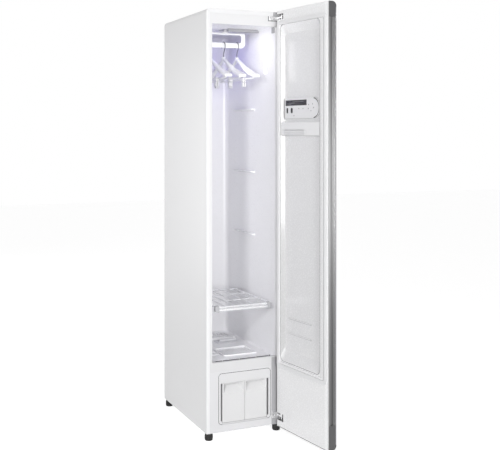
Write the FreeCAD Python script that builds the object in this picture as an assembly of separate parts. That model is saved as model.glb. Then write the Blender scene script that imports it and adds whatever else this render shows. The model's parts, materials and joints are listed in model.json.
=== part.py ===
import FreeCAD, Part

import math
import os

# Clothes care steam cabinet. Millimetres, +Z up, +X to the right of someone facing the door,
# -Y to the front. The origin is on the floor, under the centre of the cabinet body.

# ---- driving dimensions of the case ----
body_width = 360.0
body_depth = 540.0
body_height = 1818.0
foot_height = 32.0
sheet = 1.2
top_round = 18.0
front_round = 5.0
flange_width = 15.0

# ---- front frame and garment space ----
header_height = 65.0
sill_height = 333.0
stile_width = 26.0
frame_wall = 2.0
frame_lip = 12.0
liner_wall = 2.5
liner_step = 2.0
liner_taper = 10.0
liner_back_gap = 26.5
liner_corner = 25.0
liner_cove = 12.0
ceiling_rise = 5.0

# ---- ledges and shelf ----
ledge_rise = 227.0
ledge_pitch = 290.0
ledge_count = 4
ledge_length = 360.0
upper_ledge_length = 210.0
ledge_back_y = 150.0
ledge_depth = 12.0
ledge_tip = 3.0
ledge_overlap = 6.0
shelf_side_gap = 20.0
shelf_depth = 385.0
shelf_setback = 18.0
shelf_rail = 8.0
shelf_wire = 4.0
shelf_wire_pitch = 44.0
shelf_bend = 16.0
low_rail_radius = 6.5
low_rail_drop = 12.0
shelf_cap_length = 16.0
shelf_cap_round = 9.0

# ---- floor tray, its vents and the lint filter ----
floor_sheet = 3.0
tray_side_gap = 16.0
tray_setback = 5.0
tray_corner = 24.0
front_slot_count = 5
front_slot_pitch = 39.0
front_slot_length = 26.0
front_slot_width = 3.0
grille_back_gap = 93.5
grille_side_gap = 34.0
grille_half_depth = 54.0
grille_rise = 9.0
grille_wall = 6.0
grille_slots = 11
grille_slot_pitch = 18.0
grille_slot_width = 6.0
grille_slot_half = 38.0
vent_left_gap = 72.0
vent_right_gap = 36.0
vent_front_gap = 78.0
vent_length = 136.0
vent_rim_width = 9.0
vent_rim_rise = 5.0
vent_slots = 10
vent_slot_pitch = 13.0
vent_slot_width = 5.0
rib_places = (-152.0, -108.0, -64.0)
rib_width = 8.0
rib_rise = 3.0
filter_left = 2.0
filter_side_gap = 16.0
filter_front = 32.0
filter_length = 46.0
filter_flange = 4.0
filter_drop = 14.0
filter_grip_width = 10.0
filter_grip_rise = 12.0

# ---- lower compartment ----
tank_depth = 190.0
tank_wall = 2.5
tank_gap = 1.0
tank_top_gap = 0.8
slot_width = 8.0
bay_margin = 56.0
bay_rise = 32.0
bay_drop = 50.0
bay_corner = 15.0
window_margin = 10.0
window_rise = 5.2
window_drop = 42.0
groove_width = 2.0
cover_wall = 3.0
cover_drop = 41.0
post_width = 36.0
post_rise = 57.0
post_drop = 4.0
lid_seat = 8.5
lid_front = 28.0

# ---- door ----
door_rise = 2.0
door_bottom = 29.0
door_thickness = 42.0
door_gap = 8.0
door_skin = 3.0
door_glass = 4.0
door_trim = 7.0
door_open_angle = 98.0
hinge_inset = 12.5
hinge_depth = 17.0
hinge_pin_radius = 4.0
tray_depth = 20.0
gasket_width = 14.0
gasket_height = 7.2
gasket_edge = 8.0
cap_bar = 22.0
cap_round = 20.0
upper_cap_length = 64.0
lower_cap_length = 103.0

# ---- moving hanger ----
hoop_y = -35.0
hoop_side_gap = 23.0
hoop_bar_height = 24.0
hoop_bar_thickness = 10.0
hoop_top_strip = 10.0
hoop_drop = 12.0
hoop_height = 69.5
shuttle_stroke = 14.0
crank_swing = 45.0
crank_pin_radius = 4.0
yoke_slot_width = 10.0
hanger_spacing = 67.0
hook_radius = 18.0
hook_wire = 2.0
shoulder_reach = 210.0

# ---- clearances ----
face_gap = 0.3
bearing_gap = 0.05

# ---- derived sizes ----
half_width = body_width / 2
front_y = -body_depth / 2
back_y = body_depth / 2
base_z = foot_height
top_z = foot_height + body_height
split_z = top_z - top_round
header_z = top_z - header_height
opening_half = half_width - stile_width
ceiling_z = header_z + ceiling_rise
liner_front_half = opening_half - liner_step
shelf_half_width = liner_front_half - shelf_side_gap
ledge_first_height = sill_height + ledge_rise
hoop_half_length = shelf_half_width - hoop_side_gap
hoop_top = ceiling_z - hoop_drop
hoop_bottom = hoop_top - hoop_height
bay_half_width = half_width - bay_margin
bay_bottom = foot_height + bay_rise
bay_top = sill_height - bay_drop
window_half_width = bay_half_width - window_margin
window_bottom = bay_bottom + window_rise
window_top = bay_top - window_drop
tank_width = window_half_width - slot_width - tank_gap / 2
tank_height = window_top - window_bottom - tank_top_gap
cover_edge = half_width - flange_width - post_width
cover_top = sill_height - cover_drop
post_bottom = foot_height + post_rise
post_top = sill_height - post_drop

Vector = FreeCAD.Vector
parts = {}


def vec(x, y, z):
    return Vector(x, y, z)


def box(x0, x1, y0, y1, z0, z1):
    """Block between two corners given as pairs along each axis."""
    return Part.makeBox(x1 - x0, y1 - y0, z1 - z0, vec(x0, y0, z0))


def cylinder(x, y, z, radius, height, axis=(0, 0, 1)):
    return Part.makeCylinder(radius, height, vec(x, y, z), vec(*axis))


def join(shapes):
    """One solid from touching or overlapping pieces."""
    shapes = list(shapes)
    return shapes[0].multiFuse(shapes[1:]).removeSplitter()


def cut(shape, *tools):
    return shape.cut(list(tools))


def mirrored_x(shape):
    return shape.mirror(vec(0, 0, 0), vec(1, 0, 0))


def group(shapes):
    """Separate solids kept in one node."""
    return Part.makeCompound(list(shapes))


def rounded_wire(a0, a1, b0, b1, radii):
    """Rectangle in the XY plane with its own radius at each corner.

    Corners run (a0, b0), (a1, b0), (a1, b1), (a0, b1).
    """
    corners = [(a0, b0), (a1, b0), (a1, b1), (a0, b1)]
    turns = [((0, 1), (1, 0)), ((-1, 0), (0, 1)), ((0, -1), (-1, 0)), ((1, 0), (0, -1))]
    edges = []
    starts = []
    ends = []
    arcs = []
    for (a, b), (back, ahead), radius in zip(corners, turns, radii):
        start = vec(a + back[0] * radius, b + back[1] * radius, 0)
        end = vec(a + ahead[0] * radius, b + ahead[1] * radius, 0)
        starts.append(start)
        ends.append(end)
        if radius > 0:
            centre = vec(a + (back[0] + ahead[0]) * radius, b + (back[1] + ahead[1]) * radius, 0)
            toward = vec(a, b, 0) - centre
            middle = centre + toward.normalize() * radius
            arcs.append(Part.Arc(start, middle, end).toShape())
        else:
            arcs.append(None)
    for index in range(4):
        if arcs[index] is not None:
            edges.append(arcs[index])
        following = starts[(index + 1) % 4]
        if (following - ends[index]).Length > 1e-6:
            edges.append(Part.LineSegment(ends[index], following).toShape())
    return Part.Wire(edges)


def four(radius):
    return (radius, radius, radius, radius)


def turned_to(shape, plane):
    """Turn a shape drawn in XY, and raised along Z, so that Z becomes the plane's normal."""
    if plane == "xz":
        shape.rotate(vec(0, 0, 0), vec(1, 0, 0), 90)
        return shape.mirror(vec(0, 0, 0), vec(0, 1, 0))
    if plane == "yz":
        shape.rotate(vec(0, 0, 0), vec(1, 1, 1), 120)
    return shape


def slab(plane, a0, a1, b0, b1, low, high, radius=0.0, radii=None):
    """Rounded rectangle in a plane, raised from low to high along the plane's normal.

    plane xy: a along X, b along Y. plane xz: a along X, b along Z. plane yz: a along Y, b along Z.
    """
    wire = rounded_wire(a0, a1, b0, b1, radii or four(radius))
    solid = Part.Face(wire).extrude(vec(0, 0, high - low))
    solid.translate(vec(0, 0, low))
    return turned_to(solid, plane)


def rounded(shape, radius, test):
    """Fillet the edges whose middle and direction pass the test."""
    chosen = [edge for edge in shape.Edges if test(edge, edge.CenterOfMass)]
    return shape.makeFillet(radius, chosen)


def along(edge, axis):
    """True for a straight edge that runs along the named axis."""
    if edge.Curve.TypeId != "Part::GeomLine":
        return False
    direction = edge.Curve.Direction
    return abs(getattr(direction, axis)) > 0.999


def turned_solid(points, x, y, z):
    """Solid of revolution about a vertical axis from (radius, height) points."""
    wire = Part.makePolygon([vec(radius, 0, height) for radius, height in points + points[:1]])
    solid = Part.Face(wire).revolve(vec(0, 0, 0), vec(0, 0, 1), 360)
    solid.translate(vec(x, y, z))
    return solid


# ---- case ----

def outer_form(inset):
    """Outside of the cabinet, moved inwards by an even amount."""
    side = half_width - inset
    top = top_z - inset
    front_radius = max(front_round - inset, 0.5)
    crown = slab("xz", -side, side, base_z - 10, top, front_y + inset, back_y - inset,
                 radii=(0, 0, top_round - inset, top_round - inset))
    plan = slab("xy", -side, side, front_y + inset, back_y - inset, base_z - 10, top + 10,
                radii=(front_radius, front_radius, 0, 0))
    return crown.common(plan)


def case_shell():
    above_base = box(-half_width - 1, half_width + 1, front_y - 1, back_y + 1, base_z, top_z + 1)
    return cut(outer_form(0), outer_form(sheet)).common(above_base)


def side_panel(shell):
    """Right side sheet with a flange turned in along the front and the back edge."""
    return shell.common(box(half_width - flange_width, half_width + 1, front_y - 1, back_y + 1, base_z, split_z))


def top_panel(shell):
    """Crown with its tuck strips, which reach down inside the side panels."""
    crown = shell.common(box(-half_width - 1, half_width + 1, front_y - 1, back_y + 1, split_z, top_z + 1))
    strip = box(half_width - 2 * sheet, half_width - sheet, front_y + 30, back_y - 30, split_z - 12, split_z + 2)
    return join([crown, strip, mirrored_x(strip)])


def louvre_slots(x0, x1, z0, rows, pitch, height):
    """Rows of round-ended slots through the back panel."""
    return [slab("xz", x0, x1, z0 + row * pitch, z0 + row * pitch + height, back_y - 12, back_y + 1,
                 height / 2 - 0.01) for row in range(rows)]


def back_panel():
    outside = back_y - sheet
    inside = outside - sheet
    edge = half_width - sheet
    flat = box(-edge, edge, inside, outside, base_z, split_z)
    press_depth = 4.0
    field = (-edge + 40, edge - 40, sill_height + 60, split_z - 70)
    pocket = slab("xz", *field, inside - press_depth, outside, 30)
    hollow = slab("xz", field[0] + sheet, field[1] - sheet, field[2] + sheet, field[3] - sheet,
                  inside - press_depth + sheet, outside, 30 - sheet)
    panel = cut(join([flat, pocket]), hollow)
    slots = []
    for side in (-1, 1):
        near = side * louvre_inner
        far = side * (half_width - louvre_margin)
        slots += louvre_slots(min(near, far), max(near, far), base_z + 60, 9, 14, 6)
    gland_hole = cylinder(gland_x, inside - 1, gland_z, gland_radius, sheet + 2, (0, 1, 0))
    return cut(panel, *slots, gland_hole)


louvre_inner = 20.0
louvre_margin = 60.0
gland_x = 45.0 - half_width
gland_z = sill_height - 33.0
gland_radius = 11.0


def cord_gland():
    """Bush in the back panel that the supply cord passes through."""
    inside = back_y - 2 * sheet
    body = cylinder(gland_x, inside - 9, gland_z, gland_radius, sheet + 9, (0, 1, 0))
    collar = cylinder(gland_x, inside - 3, gland_z, gland_radius + 4, 3, (0, 1, 0))
    bore = cylinder(gland_x, inside - 12, gland_z, 4.5, 30, (0, 1, 0))
    return cut(join([body, collar]), bore)


foot_inset_x = 18.5
foot_inset_y = 20.6
foot_radius = 18.0
stud_radius = 4.0
foot_bush_height = 18.0
pan_wall = 2.0


def foot_places():
    x = half_width - foot_inset_x
    y = back_y - foot_inset_y
    return {"foot_front_left": (-x, -y), "foot_front_right": (x, -y),
            "foot_rear_left": (-x, y), "foot_rear_right": (x, y)}


def base_pan():
    """Floor sheet with turned-up rims, stiffening ribs and a threaded bush over each foot."""
    side = half_width - sheet
    front = front_y + cover_wall
    back = back_y - 2 * sheet
    outer = box(-side, side, front, back, base_z, base_z + 22)
    inner = box(-side + pan_wall, side - pan_wall, front + pan_wall, back - pan_wall, base_z + pan_wall, base_z + 23)
    corner = rounded_corner_trim(front_round - sheet)
    bushes = [cylinder(x, y, base_z, 9, foot_bush_height) for x, y in foot_places().values()]
    ribs = [box(-side + 30, side - 30, y - 1.5, y + 1.5, base_z + 1, base_z + 8) for y in (-150, -30)]
    holes = [cylinder(x, y, base_z - 1, stud_radius + bearing_gap, foot_bush_height + 2)
             for x, y in foot_places().values()]
    return cut(join([cut(outer, inner)] + bushes + ribs).common(corner), *holes)


def rounded_corner_trim(radius):
    """Plan of the space inside the case skin, used to round what touches its front corners."""
    side = half_width - sheet
    return slab("xy", -side, side, front_y + sheet, back_y, base_z - 5, top_z,
                radii=(radius, radius, 0, 0))


def foot(x, y):
    """Screw foot: a grooved pad under a threaded stud."""
    pad = [(0, 0), (foot_radius - 3, 0), (foot_radius - 1, 2), (foot_radius - 1, 6), (foot_radius, 8),
           (foot_radius, foot_height - 10), (foot_radius - 4, foot_height - face_gap),
           (stud_radius, foot_height - face_gap), (stud_radius, foot_height + foot_bush_height + 8),
           (stud_radius - 1, foot_height + foot_bush_height + 9), (0, foot_height + foot_bush_height + 9)]
    body = turned_solid(pad, x, y, 0)
    notches = []
    for index in range(6):
        angle = math.radians(index * 60 + 30)
        notches.append(cylinder(x + (foot_radius + 2) * math.cos(angle), y + (foot_radius + 2) * math.sin(angle),
                                7, 4, foot_height - 18))
    return cut(body, *notches)


def front_frame():
    """Frame round the garment opening: header, stiles and sill with a lip turned inwards."""
    side = half_width - flange_width
    low = cover_top
    face = box(-side, side, front_y, front_y + frame_wall, low, split_z)
    post_room = box(cover_edge, side + 1, front_y - 1, front_y + frame_lip, low - 1, post_top)
    opening = slab("xz", -opening_half, opening_half, sill_height, header_z, front_y - 1, front_y + 30, 4)
    lip = slab("xz", -opening_half - frame_wall, opening_half + frame_wall, sill_height - frame_wall,
               header_z + frame_wall, front_y, front_y + frame_lip, 4 + frame_wall)
    rear_edge = box(-side, -side + frame_wall, front_y + 1, front_y + frame_lip - 2, low, split_z)
    return cut(join([face, lip, rear_edge, mirrored_x(rear_edge)]), opening, post_room)


# ---- garment space ----

liner_front_y = front_y + frame_lip
liner_back_y = back_y - liner_back_gap
liner_floor_z = sill_height - floor_sheet


def liner_half_at(y):
    """Half width of the garment space at a depth: it narrows evenly to the back."""
    return liner_front_half - liner_taper * (y - liner_front_y) / (liner_back_y - liner_front_y)


def liner_form(wall):
    """Inside of the garment space, grown by a wall, with coved rear corners, floor and ceiling."""
    near = liner_front_half + wall
    far = liner_front_half - liner_taper + wall
    back = liner_back_y + wall
    low = liner_floor_z - wall
    high = ceiling_z + wall
    corners = [(-near, liner_front_y), (near, liner_front_y), (far, back), (-far, back)]
    wire = Part.makePolygon([vec(x, y, low) for x, y in corners + corners[:1]])
    form = Part.Face(wire).extrude(vec(0, 0, high - low))
    form = rounded(form, liner_corner + wall, lambda edge, at: along(edge, "z") and at.y > 0)
    return rounded(form, liner_cove + wall,
                   lambda edge, at: abs(edge.BoundBox.ZLength) < 0.01 and at.y > liner_front_y + 1)


def ledge(z, start, length):
    """Shelf ledge moulded into the right wall, with a sloped underside and rounded ends."""
    tip = shelf_half_width - ledge_overlap
    root = liner_front_half + 1
    section = [(tip, z), (root, z), (root, z - ledge_depth), (tip, z - ledge_tip)]
    wire = Part.makePolygon([vec(x, start, height) for x, height in section + section[:1]])
    bar = Part.Face(wire).extrude(vec(0, length, 0))
    plan = slab("xy", tip, root + 30, start, start + length, z - 40, z + 5, radii=(12, 0, 0, 12))
    return bar.common(plan)


ceiling_slot = (-14.0, liner_front_half - 14.0, hoop_y - 29.0, hoop_y + 51.0)


def inner_liner():
    """Moulded garment space with its front flange, shelf ledges and ceiling opening."""
    inside = liner_form(0)
    outside = liner_form(liner_wall)
    flange = slab("xz", -liner_front_half - 10, liner_front_half + 10, liner_floor_z - 8, ceiling_z + 8,
                  liner_front_y, liner_front_y + liner_wall, 8)
    shell = cut(join([outside, flange]), inside)
    ledges = []
    for step in range(ledge_count):
        length = ledge_length if step == 0 else upper_ledge_length
        right = ledge(ledge_first_height + step * ledge_pitch, ledge_back_y - length, length)
        ledges += [right, mirrored_x(right)]
    body = join([shell] + [item.common(outside) for item in ledges])
    slot = slab("xy", *ceiling_slot, ceiling_z - 20, ceiling_z + 20, 8)
    air_hole = slab("xy", filter_x0, filter_x1, filter_y0, filter_y1, liner_floor_z - 20, liner_floor_z + 1, 6)
    half = grille_slot_half + 2
    return_holes = plan_slots(evenly(grille_slots, grille_slot_pitch), grille_slot_width, grille_y - half,
                              grille_y + half, liner_floor_z - 20, liner_floor_z + 1)
    lens_hole = box(100, 200, lens_y - lens_width / 2, lens_y + lens_width / 2, lens_z0, lens_z1)
    return cut(body, slot, air_hole, lens_hole, *return_holes)


tray_half = liner_front_half - tray_side_gap
grille_y = liner_back_y - grille_back_gap
grille_half_width = liner_front_half - grille_side_gap
vent_rim = (vent_left_gap - tray_half, tray_half - vent_right_gap, front_y + vent_front_gap,
            front_y + vent_front_gap + vent_length)
filter_x0 = filter_left
filter_x1 = shelf_half_width - filter_side_gap
filter_y0 = filter_front
filter_y1 = filter_front + filter_length
filter_y = (filter_y0 + filter_y1) / 2
lens_y = front_y + 105.0
lens_width = 20.0
lens_z0 = ceiling_z - 205.0
lens_z1 = ceiling_z - 85.0


def evenly(count, pitch, middle=0.0):
    """Places of a row of features, spread evenly either side of its middle."""
    return [middle + (step - (count - 1) / 2) * pitch for step in range(count)]


def plan_slots(places, width, y0, y1, low, high):
    """Round-ended slots that run along the depth, one at each place across the width."""
    return [slab("xy", x - width / 2, x + width / 2, y0, y1, low, high, width / 2 - 0.1) for x in places]


def light_lens():
    """Lens of the cabinet light, seated through the right wall and standing 1.5 mm proud of it."""
    wall = liner_half_at(lens_y)
    return slab("yz", lens_y - lens_width / 2, lens_y + lens_width / 2, lens_z0, lens_z1,
                wall - 1.5, wall + liner_wall, 0.0)


def door_sensor():
    """Door sensor block on the right wall under the ceiling."""
    wall = liner_half_at(liner_front_y + 28)
    block = slab("yz", liner_front_y + 3, liner_front_y + 28, ceiling_z - 30, ceiling_z - 4, wall - 3, wall + 3, 3)
    return cut(block, liner_form(30).cut(liner_form(0)))


def insulation_jacket():
    """Foam between the garment space and the case skin."""
    side = half_width - sheet
    foam = box(-side, side, liner_front_y + liner_wall, back_y - 8, liner_floor_z - liner_wall,
               ceiling_z + liner_wall)
    gland_room = cylinder(gland_x, back_y - 40, gland_z, gland_radius + 6, 60, (0, 1, 0))
    lens_room = box(100, 170, lens_y - 12, lens_y + 12, lens_z0 - 2, lens_z1 + 2)
    return cut(foam, liner_form(liner_wall), gland_room, lens_room)


def raised(limits, rise, corner, edge_round):
    """Raised field of the floor tray with a rounded upper edge."""
    top = sill_height + rise
    field = slab("xy", *limits, liner_floor_z, top, corner)
    return rounded(field, edge_round, lambda edge, at: at.z > top - 0.1)


def inset(limits, amount):
    """Plan limits (x0, x1, y0, y1) taken in on every side."""
    x0, x1, y0, y1 = limits
    return x0 + amount, x1 - amount, y0 + amount, y1 - amount


def floor_tray():
    """Floor plate with side ribs, a row of front slots, a framed vent, a raised rear grille and the filter hole."""
    front = liner_front_y + tray_setback
    plate = slab("xy", -tray_half, tray_half, front, liner_back_y, liner_floor_z, sill_height,
                 radii=(tray_corner, tray_corner, 0, 0))
    grille = (-grille_half_width, grille_half_width, grille_y - grille_half_depth, grille_y + grille_half_depth)
    hump = raised(grille, grille_rise, 12, 4)
    rim = raised(vent_rim, vent_rim_rise, 14, 2)
    vent_room = slab("xy", *inset(vent_rim, vent_rim_width), sill_height, sill_height + vent_rim_rise + 1, 6)
    rib_half = rib_width / 2
    side_ribs = [raised((-tray_half + 8, vent_rim[0] - 10, y - rib_half, y + rib_half), rib_rise, rib_half - 0.1, 1.5)
                 for y in rib_places]
    tray = join([plate, hump, cut(rim, vent_room)] + side_ribs).common(liner_form(0))
    below = liner_floor_z - 1
    front_slots = [slab("xy", x - front_slot_length / 2, x + front_slot_length / 2, front + 5,
                        front + 5 + front_slot_width, below, sill_height + 1, front_slot_width / 2 - 0.1)
                   for x in evenly(front_slot_count, front_slot_pitch)]
    vents = plan_slots(evenly(vent_slots, vent_slot_pitch, (vent_rim[0] + vent_rim[1]) / 2 - 1.5), vent_slot_width,
                       vent_rim[2] + 2 * vent_rim_width, vent_rim[3] - 2 * vent_rim_width, below, sill_height + 1)
    returns = plan_slots(evenly(grille_slots, grille_slot_pitch), grille_slot_width, grille_y - grille_slot_half,
                         grille_y + grille_slot_half, below, sill_height + grille_rise + 1)
    filter_hole = slab("xy", filter_x0, filter_x1, filter_y0, filter_y1, below, sill_height + 1, 6)
    hollow = slab("xy", *inset(grille, grille_wall), below, sill_height + grille_rise - 4, 8)
    return cut(tray, *front_slots, *vents, *returns, filter_hole, hollow)


def lint_filter():
    """Lift-out filter cassette: a flange on the floor plate, a grip bar and a slotted basket below."""
    hole = (filter_x0, filter_x1, filter_y0, filter_y1)
    body = slab("xy", *inset(hole, face_gap), liner_floor_z - filter_drop, sill_height + 1, 5.7)
    flange = slab("xy", *inset(hole, -filter_flange), sill_height + face_gap, sill_height + 3, 8)
    grip_half = filter_grip_width / 2
    grip_top = sill_height + filter_grip_rise
    grip = slab("xy", filter_x0 + filter_drop, filter_x1 - filter_drop, filter_y - grip_half, filter_y + grip_half,
                sill_height + 1, grip_top, grip_half - 0.1)
    grip = rounded(grip, 3, lambda edge, at: at.z > grip_top - 1)
    count = int((filter_x1 - filter_x0 - 22) / 12) + 1
    slots = [slab("xy", x - 4, x + 4, y - 5, y + 5, liner_floor_z - 20, sill_height + 10, 2)
             for x in evenly(count, 12, (filter_x0 + filter_x1) / 2) for y in (filter_y0 + 9, filter_y1 - 9)]
    return cut(join([body, flange, grip]), *slots)


# ---- moving hanger drive, above the ceiling ----

cover_z = ceiling_z + liner_wall
cover_thickness = 3.0
rail_height = 5.5
rail_offset = 28.0
stem_x = 8.0
stem_half = 6.0
crank_radius = shuttle_stroke / math.sin(math.radians(crank_swing))
crank_y = hoop_y + 65.0
carriage_z = cover_z + cover_thickness + rail_height + face_gap
carriage_thickness = 5.0
disc_z = carriage_z + carriage_thickness + 2.0
disc_thickness = 5.0
motor_z = disc_z + disc_thickness + 1.0
shaft_radius = 4.0


def drive_cover():
    """Grey plate over the ceiling opening, with the stem's slit and the two guide rails."""
    top = cover_z + cover_thickness
    plate = slab("xy", stem_x - 84, ceiling_slot[1] + 10, ceiling_slot[2] - 14, crank_y + 26, cover_z, top, 6)
    travel = shuttle_stroke + stem_half + 2
    slit = slab("xy", stem_x - travel, stem_x + travel, hoop_y - stem_half - 1.5, hoop_y + stem_half + 1.5,
                cover_z - 1, top + 10, 3)
    rails = [box(stem_x - 66, stem_x + 66, hoop_y + side * rail_offset - 3, hoop_y + side * rail_offset + 3,
                 top - 0.5, top + rail_height) for side in (-1, 1)]
    return cut(join([plate] + rails), slit)


def hanger_motor():
    """Gear motor on a bridge that stands on the drive cover, either side of the carriage."""
    foot_z = cover_z + cover_thickness
    bridge = slab("xy", stem_x - 80, stem_x + 80, crank_y - 17, crank_y + 17, motor_z, motor_z + 3, 6)
    legs = [box(stem_x + side * 74 - 5, stem_x + side * 74 + 5, crank_y - 12, crank_y + 12, foot_z, motor_z + 1)
            for side in (-1, 1)]
    can = cylinder(stem_x, crank_y, motor_z + 2, 24, top_z - 6 - motor_z - 2)
    can = rounded(can, 2, lambda edge, at: at.z > top_z - 7)
    gearbox = slab("xy", stem_x - 30, stem_x + 30, crank_y - 26, crank_y + 34, motor_z + 2, motor_z + 14, 10)
    bore = cylinder(stem_x, crank_y, motor_z - 1, shaft_radius + bearing_gap, 22)
    return cut(join([bridge, can, gearbox] + legs), bore)


def crank():
    """Crank disc with its shaft up into the gearbox and its pin down into the yoke slot."""
    disc = cylinder(stem_x, crank_y, disc_z, 16, disc_thickness)
    arm = slab("xy", stem_x - 9, stem_x + 9, crank_y - crank_radius - 9, crank_y, disc_z,
               disc_z + disc_thickness, radii=(8.9, 8.9, 0, 0))
    shaft = cylinder(stem_x, crank_y, disc_z, shaft_radius, motor_z + 20 - disc_z)
    pin_y = crank_y - crank_radius
    pin = cylinder(stem_x, pin_y, carriage_z + face_gap, crank_pin_radius, disc_z + 1 - carriage_z)
    relief = [cylinder(stem_x + side * 9.5, crank_y + 3, disc_z - 1, 2.5, 10) for side in (-1, 1)]
    return cut(join([disc, arm, shaft, pin]), *relief)


def hoop():
    """Hanger hoop: carriage with its cross slot, stem and closed loop with a flat-sided bar."""
    low_y = hoop_y - hoop_bar_thickness / 2
    high_y = hoop_y + hoop_bar_thickness / 2
    loop = slab("xz", -hoop_half_length, hoop_half_length, hoop_bottom, hoop_top, low_y, high_y,
                radii=(24, 24, 9, 9))
    window = slab("xz", -hoop_half_length + 20, hoop_half_length - 20, hoop_bottom + hoop_bar_height,
                  hoop_top - hoop_top_strip, low_y - 1, high_y + 1, 9)
    loop = cut(loop, window)
    loop = rounded(loop, hoop_edge, lambda edge, at: abs(edge.BoundBox.YLength) < 0.01)
    carriage_top = carriage_z + carriage_thickness
    slide = slab("xy", stem_x - 38, stem_x + 38, hoop_y - rail_offset - 6, hoop_y + rail_offset + 6,
                 carriage_z, carriage_top, 5)
    tongue = slab("xy", stem_x - 13, stem_x + 13, hoop_y, crank_y - shuttle_stroke + 11, carriage_z,
                  carriage_top, 4)
    half_slot = yoke_slot_width / 2
    near = crank_y - crank_radius - half_slot - 0.5
    far = crank_y - crank_radius * math.cos(math.radians(crank_swing)) + half_slot + 0.5
    slot = slab("xy", stem_x - half_slot, stem_x + half_slot, near, far, carriage_z - 1, carriage_top + 1,
                half_slot - 0.01)
    stem = slab("xy", stem_x - stem_half, stem_x + stem_half, hoop_y - stem_half, hoop_y + stem_half,
                hoop_top - 6, carriage_z + 1, 3)
    foot_pad = slab("xy", stem_x - 14, stem_x + 14, hoop_y - 5, hoop_y + 5, hoop_top - 3, hoop_top + 4, 4)
    return cut(join([loop, slide, tongue, stem, foot_pad]), slot)


hoop_edge = 4.5
hook_seat_z = hoop_bottom + hoop_bar_height
hook_pivot_z = hook_seat_z - hoop_edge


def sweep_wire(edges, radius):
    """Round rod along a smooth chain of edges."""
    path = Part.Wire(edges)
    start = edges[0].valueAt(edges[0].FirstParameter)
    tangent = edges[0].tangentAt(edges[0].FirstParameter)
    profile = Part.Wire([Part.makeCircle(radius, start, tangent)])
    return path.makePipeShell([profile], True, True)


def arc_edge(centre, radius, first, last):
    """Arc in the YZ plane between two angles measured from +Y towards +Z, in degrees."""
    points = []
    for angle in (first, (first + last) / 2, last):
        turn = math.radians(angle)
        points.append(vec(centre[0], centre[1] + radius * math.cos(turn), centre[2] + radius * math.sin(turn)))
    return Part.Arc(*points).toShape()


hook_turn = 225.0
neck_radius = 9.0
neck_overlap = 14.0


def hook(x):
    """Question-mark hook of round wire: over the hoop bar and back under it to the hanger's neck."""
    centre_radius = hook_radius + hook_wire
    centre = (x, hoop_y, hook_seat_z + face_gap - hook_radius)
    over = arc_edge(centre, centre_radius, -20, hook_turn)
    lean = math.radians(hook_turn - 180)
    offset = centre_radius * math.cos(lean)
    sway = offset / (1 - math.cos(lean))
    start_z = centre[2] - centre_radius * math.sin(lean)
    neck_z = start_z - sway * math.sin(lean)
    back = arc_edge((x, hoop_y - sway, neck_z), sway, math.degrees(lean), 0)
    down = Part.LineSegment(vec(x, hoop_y, neck_z), vec(x, hoop_y, neck_z - neck_overlap)).toShape()
    return sweep_wire([over, back, down], hook_wire), neck_z


shoulder_steps = ((0.0, 14.0, 16.0, -10.0), (0.16, 15.0, 18.0, -27.0), (0.45, 22.0, 20.0, -58.0),
                  (0.78, 32.0, 18.0, -85.0), (1.0, 36.0, 12.0, -98.0))
trouser_bar_drop = 106.0
trouser_bar_start = 90.0
trouser_bar_bend = 8.0
trouser_bar_radius = 3.5


def shoulder_arm(x, neck_z, side):
    """One shoulder: narrow at the neck, wide and thin at its drooping end."""
    sections = []
    for share, width, height, drop in shoulder_steps:
        wire = rounded_wire(x - width / 2, x + width / 2, neck_z + drop - height / 2,
                            neck_z + drop + height / 2, four(min(width, height) * 0.42))
        wire.rotate(vec(0, 0, 0), vec(1, 0, 0), 90)
        wire.translate(vec(0, hoop_y + side * shoulder_reach * share, 0))
        sections.append(wire)
    return Part.makeLoft(sections, True, False)


def bent_rod(corners, bend, radius):
    """Round rod through corner points in one plane, with an arc of one radius at each corner."""
    edges = []
    last = corners[0]
    for index in range(1, len(corners) - 1):
        corner = corners[index]
        back = (corners[index - 1] - corner).normalize()
        ahead = (corners[index + 1] - corner).normalize()
        half_turn = math.acos(max(-1.0, min(1.0, back.dot(ahead)))) / 2
        reach = bend / math.tan(half_turn)
        start = corner + back * reach
        end = corner + ahead * reach
        centre = corner + (back + ahead).normalize() * (bend / math.sin(half_turn))
        middle = centre + (corner - centre).normalize() * bend
        if (start - last).Length > 0.001:
            edges.append(Part.LineSegment(last, start).toShape())
        edges.append(Part.Arc(start, middle, end).toShape())
        last = end
    edges.append(Part.LineSegment(last, corners[-1]).toShape())
    return sweep_wire(edges, radius)


def hanger(x, wire, neck_z):
    """Hanger: two shoulders, a neck boss round the hook wire and a trouser bar."""
    arms = [shoulder_arm(x, neck_z, side) for side in (-1, 1)]
    boss = cylinder(x, hoop_y, neck_z - 20, neck_radius, 19)
    boss = rounded(boss, 3, lambda edge, at: at.z > neck_z - 2)
    bar_z = neck_z - trouser_bar_drop
    reach = shoulder_reach * 0.88
    start_z = neck_z - trouser_bar_start
    bar = bent_rod([vec(x, hoop_y - reach, start_z), vec(x, hoop_y - reach, bar_z),
                    vec(x, hoop_y + reach, bar_z), vec(x, hoop_y + reach, start_z)],
                   trouser_bar_bend, trouser_bar_radius)
    return cut(join(arms + [boss, bar]), wire)


clip_offset = 75.0
clip_width = 20.0
clip_above = 8.0
clip_below = 35.0


def clip(x, y, bar_z):
    """Trouser clip: two jaws round the bar, open at the bottom."""
    body = slab("yz", y - clip_width / 2, y + clip_width / 2, bar_z - clip_below, bar_z + clip_above,
                x - 8, x + 8, radii=(5, 5, 3, 3))
    bore = cylinder(x, y - 20, bar_z, trouser_bar_radius + bearing_gap, 40, (0, 1, 0))
    mouth = slab("xz", x - 1.2, x + 1.2, bar_z - 40, bar_z - 8, y - 20, y + 20, 0)
    waist = [cylinder(x + side * 11.5, y - 20, bar_z - 14, 6, 40, (0, 1, 0)) for side in (-1, 1)]
    return cut(body, bore, mouth, *waist)


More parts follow.
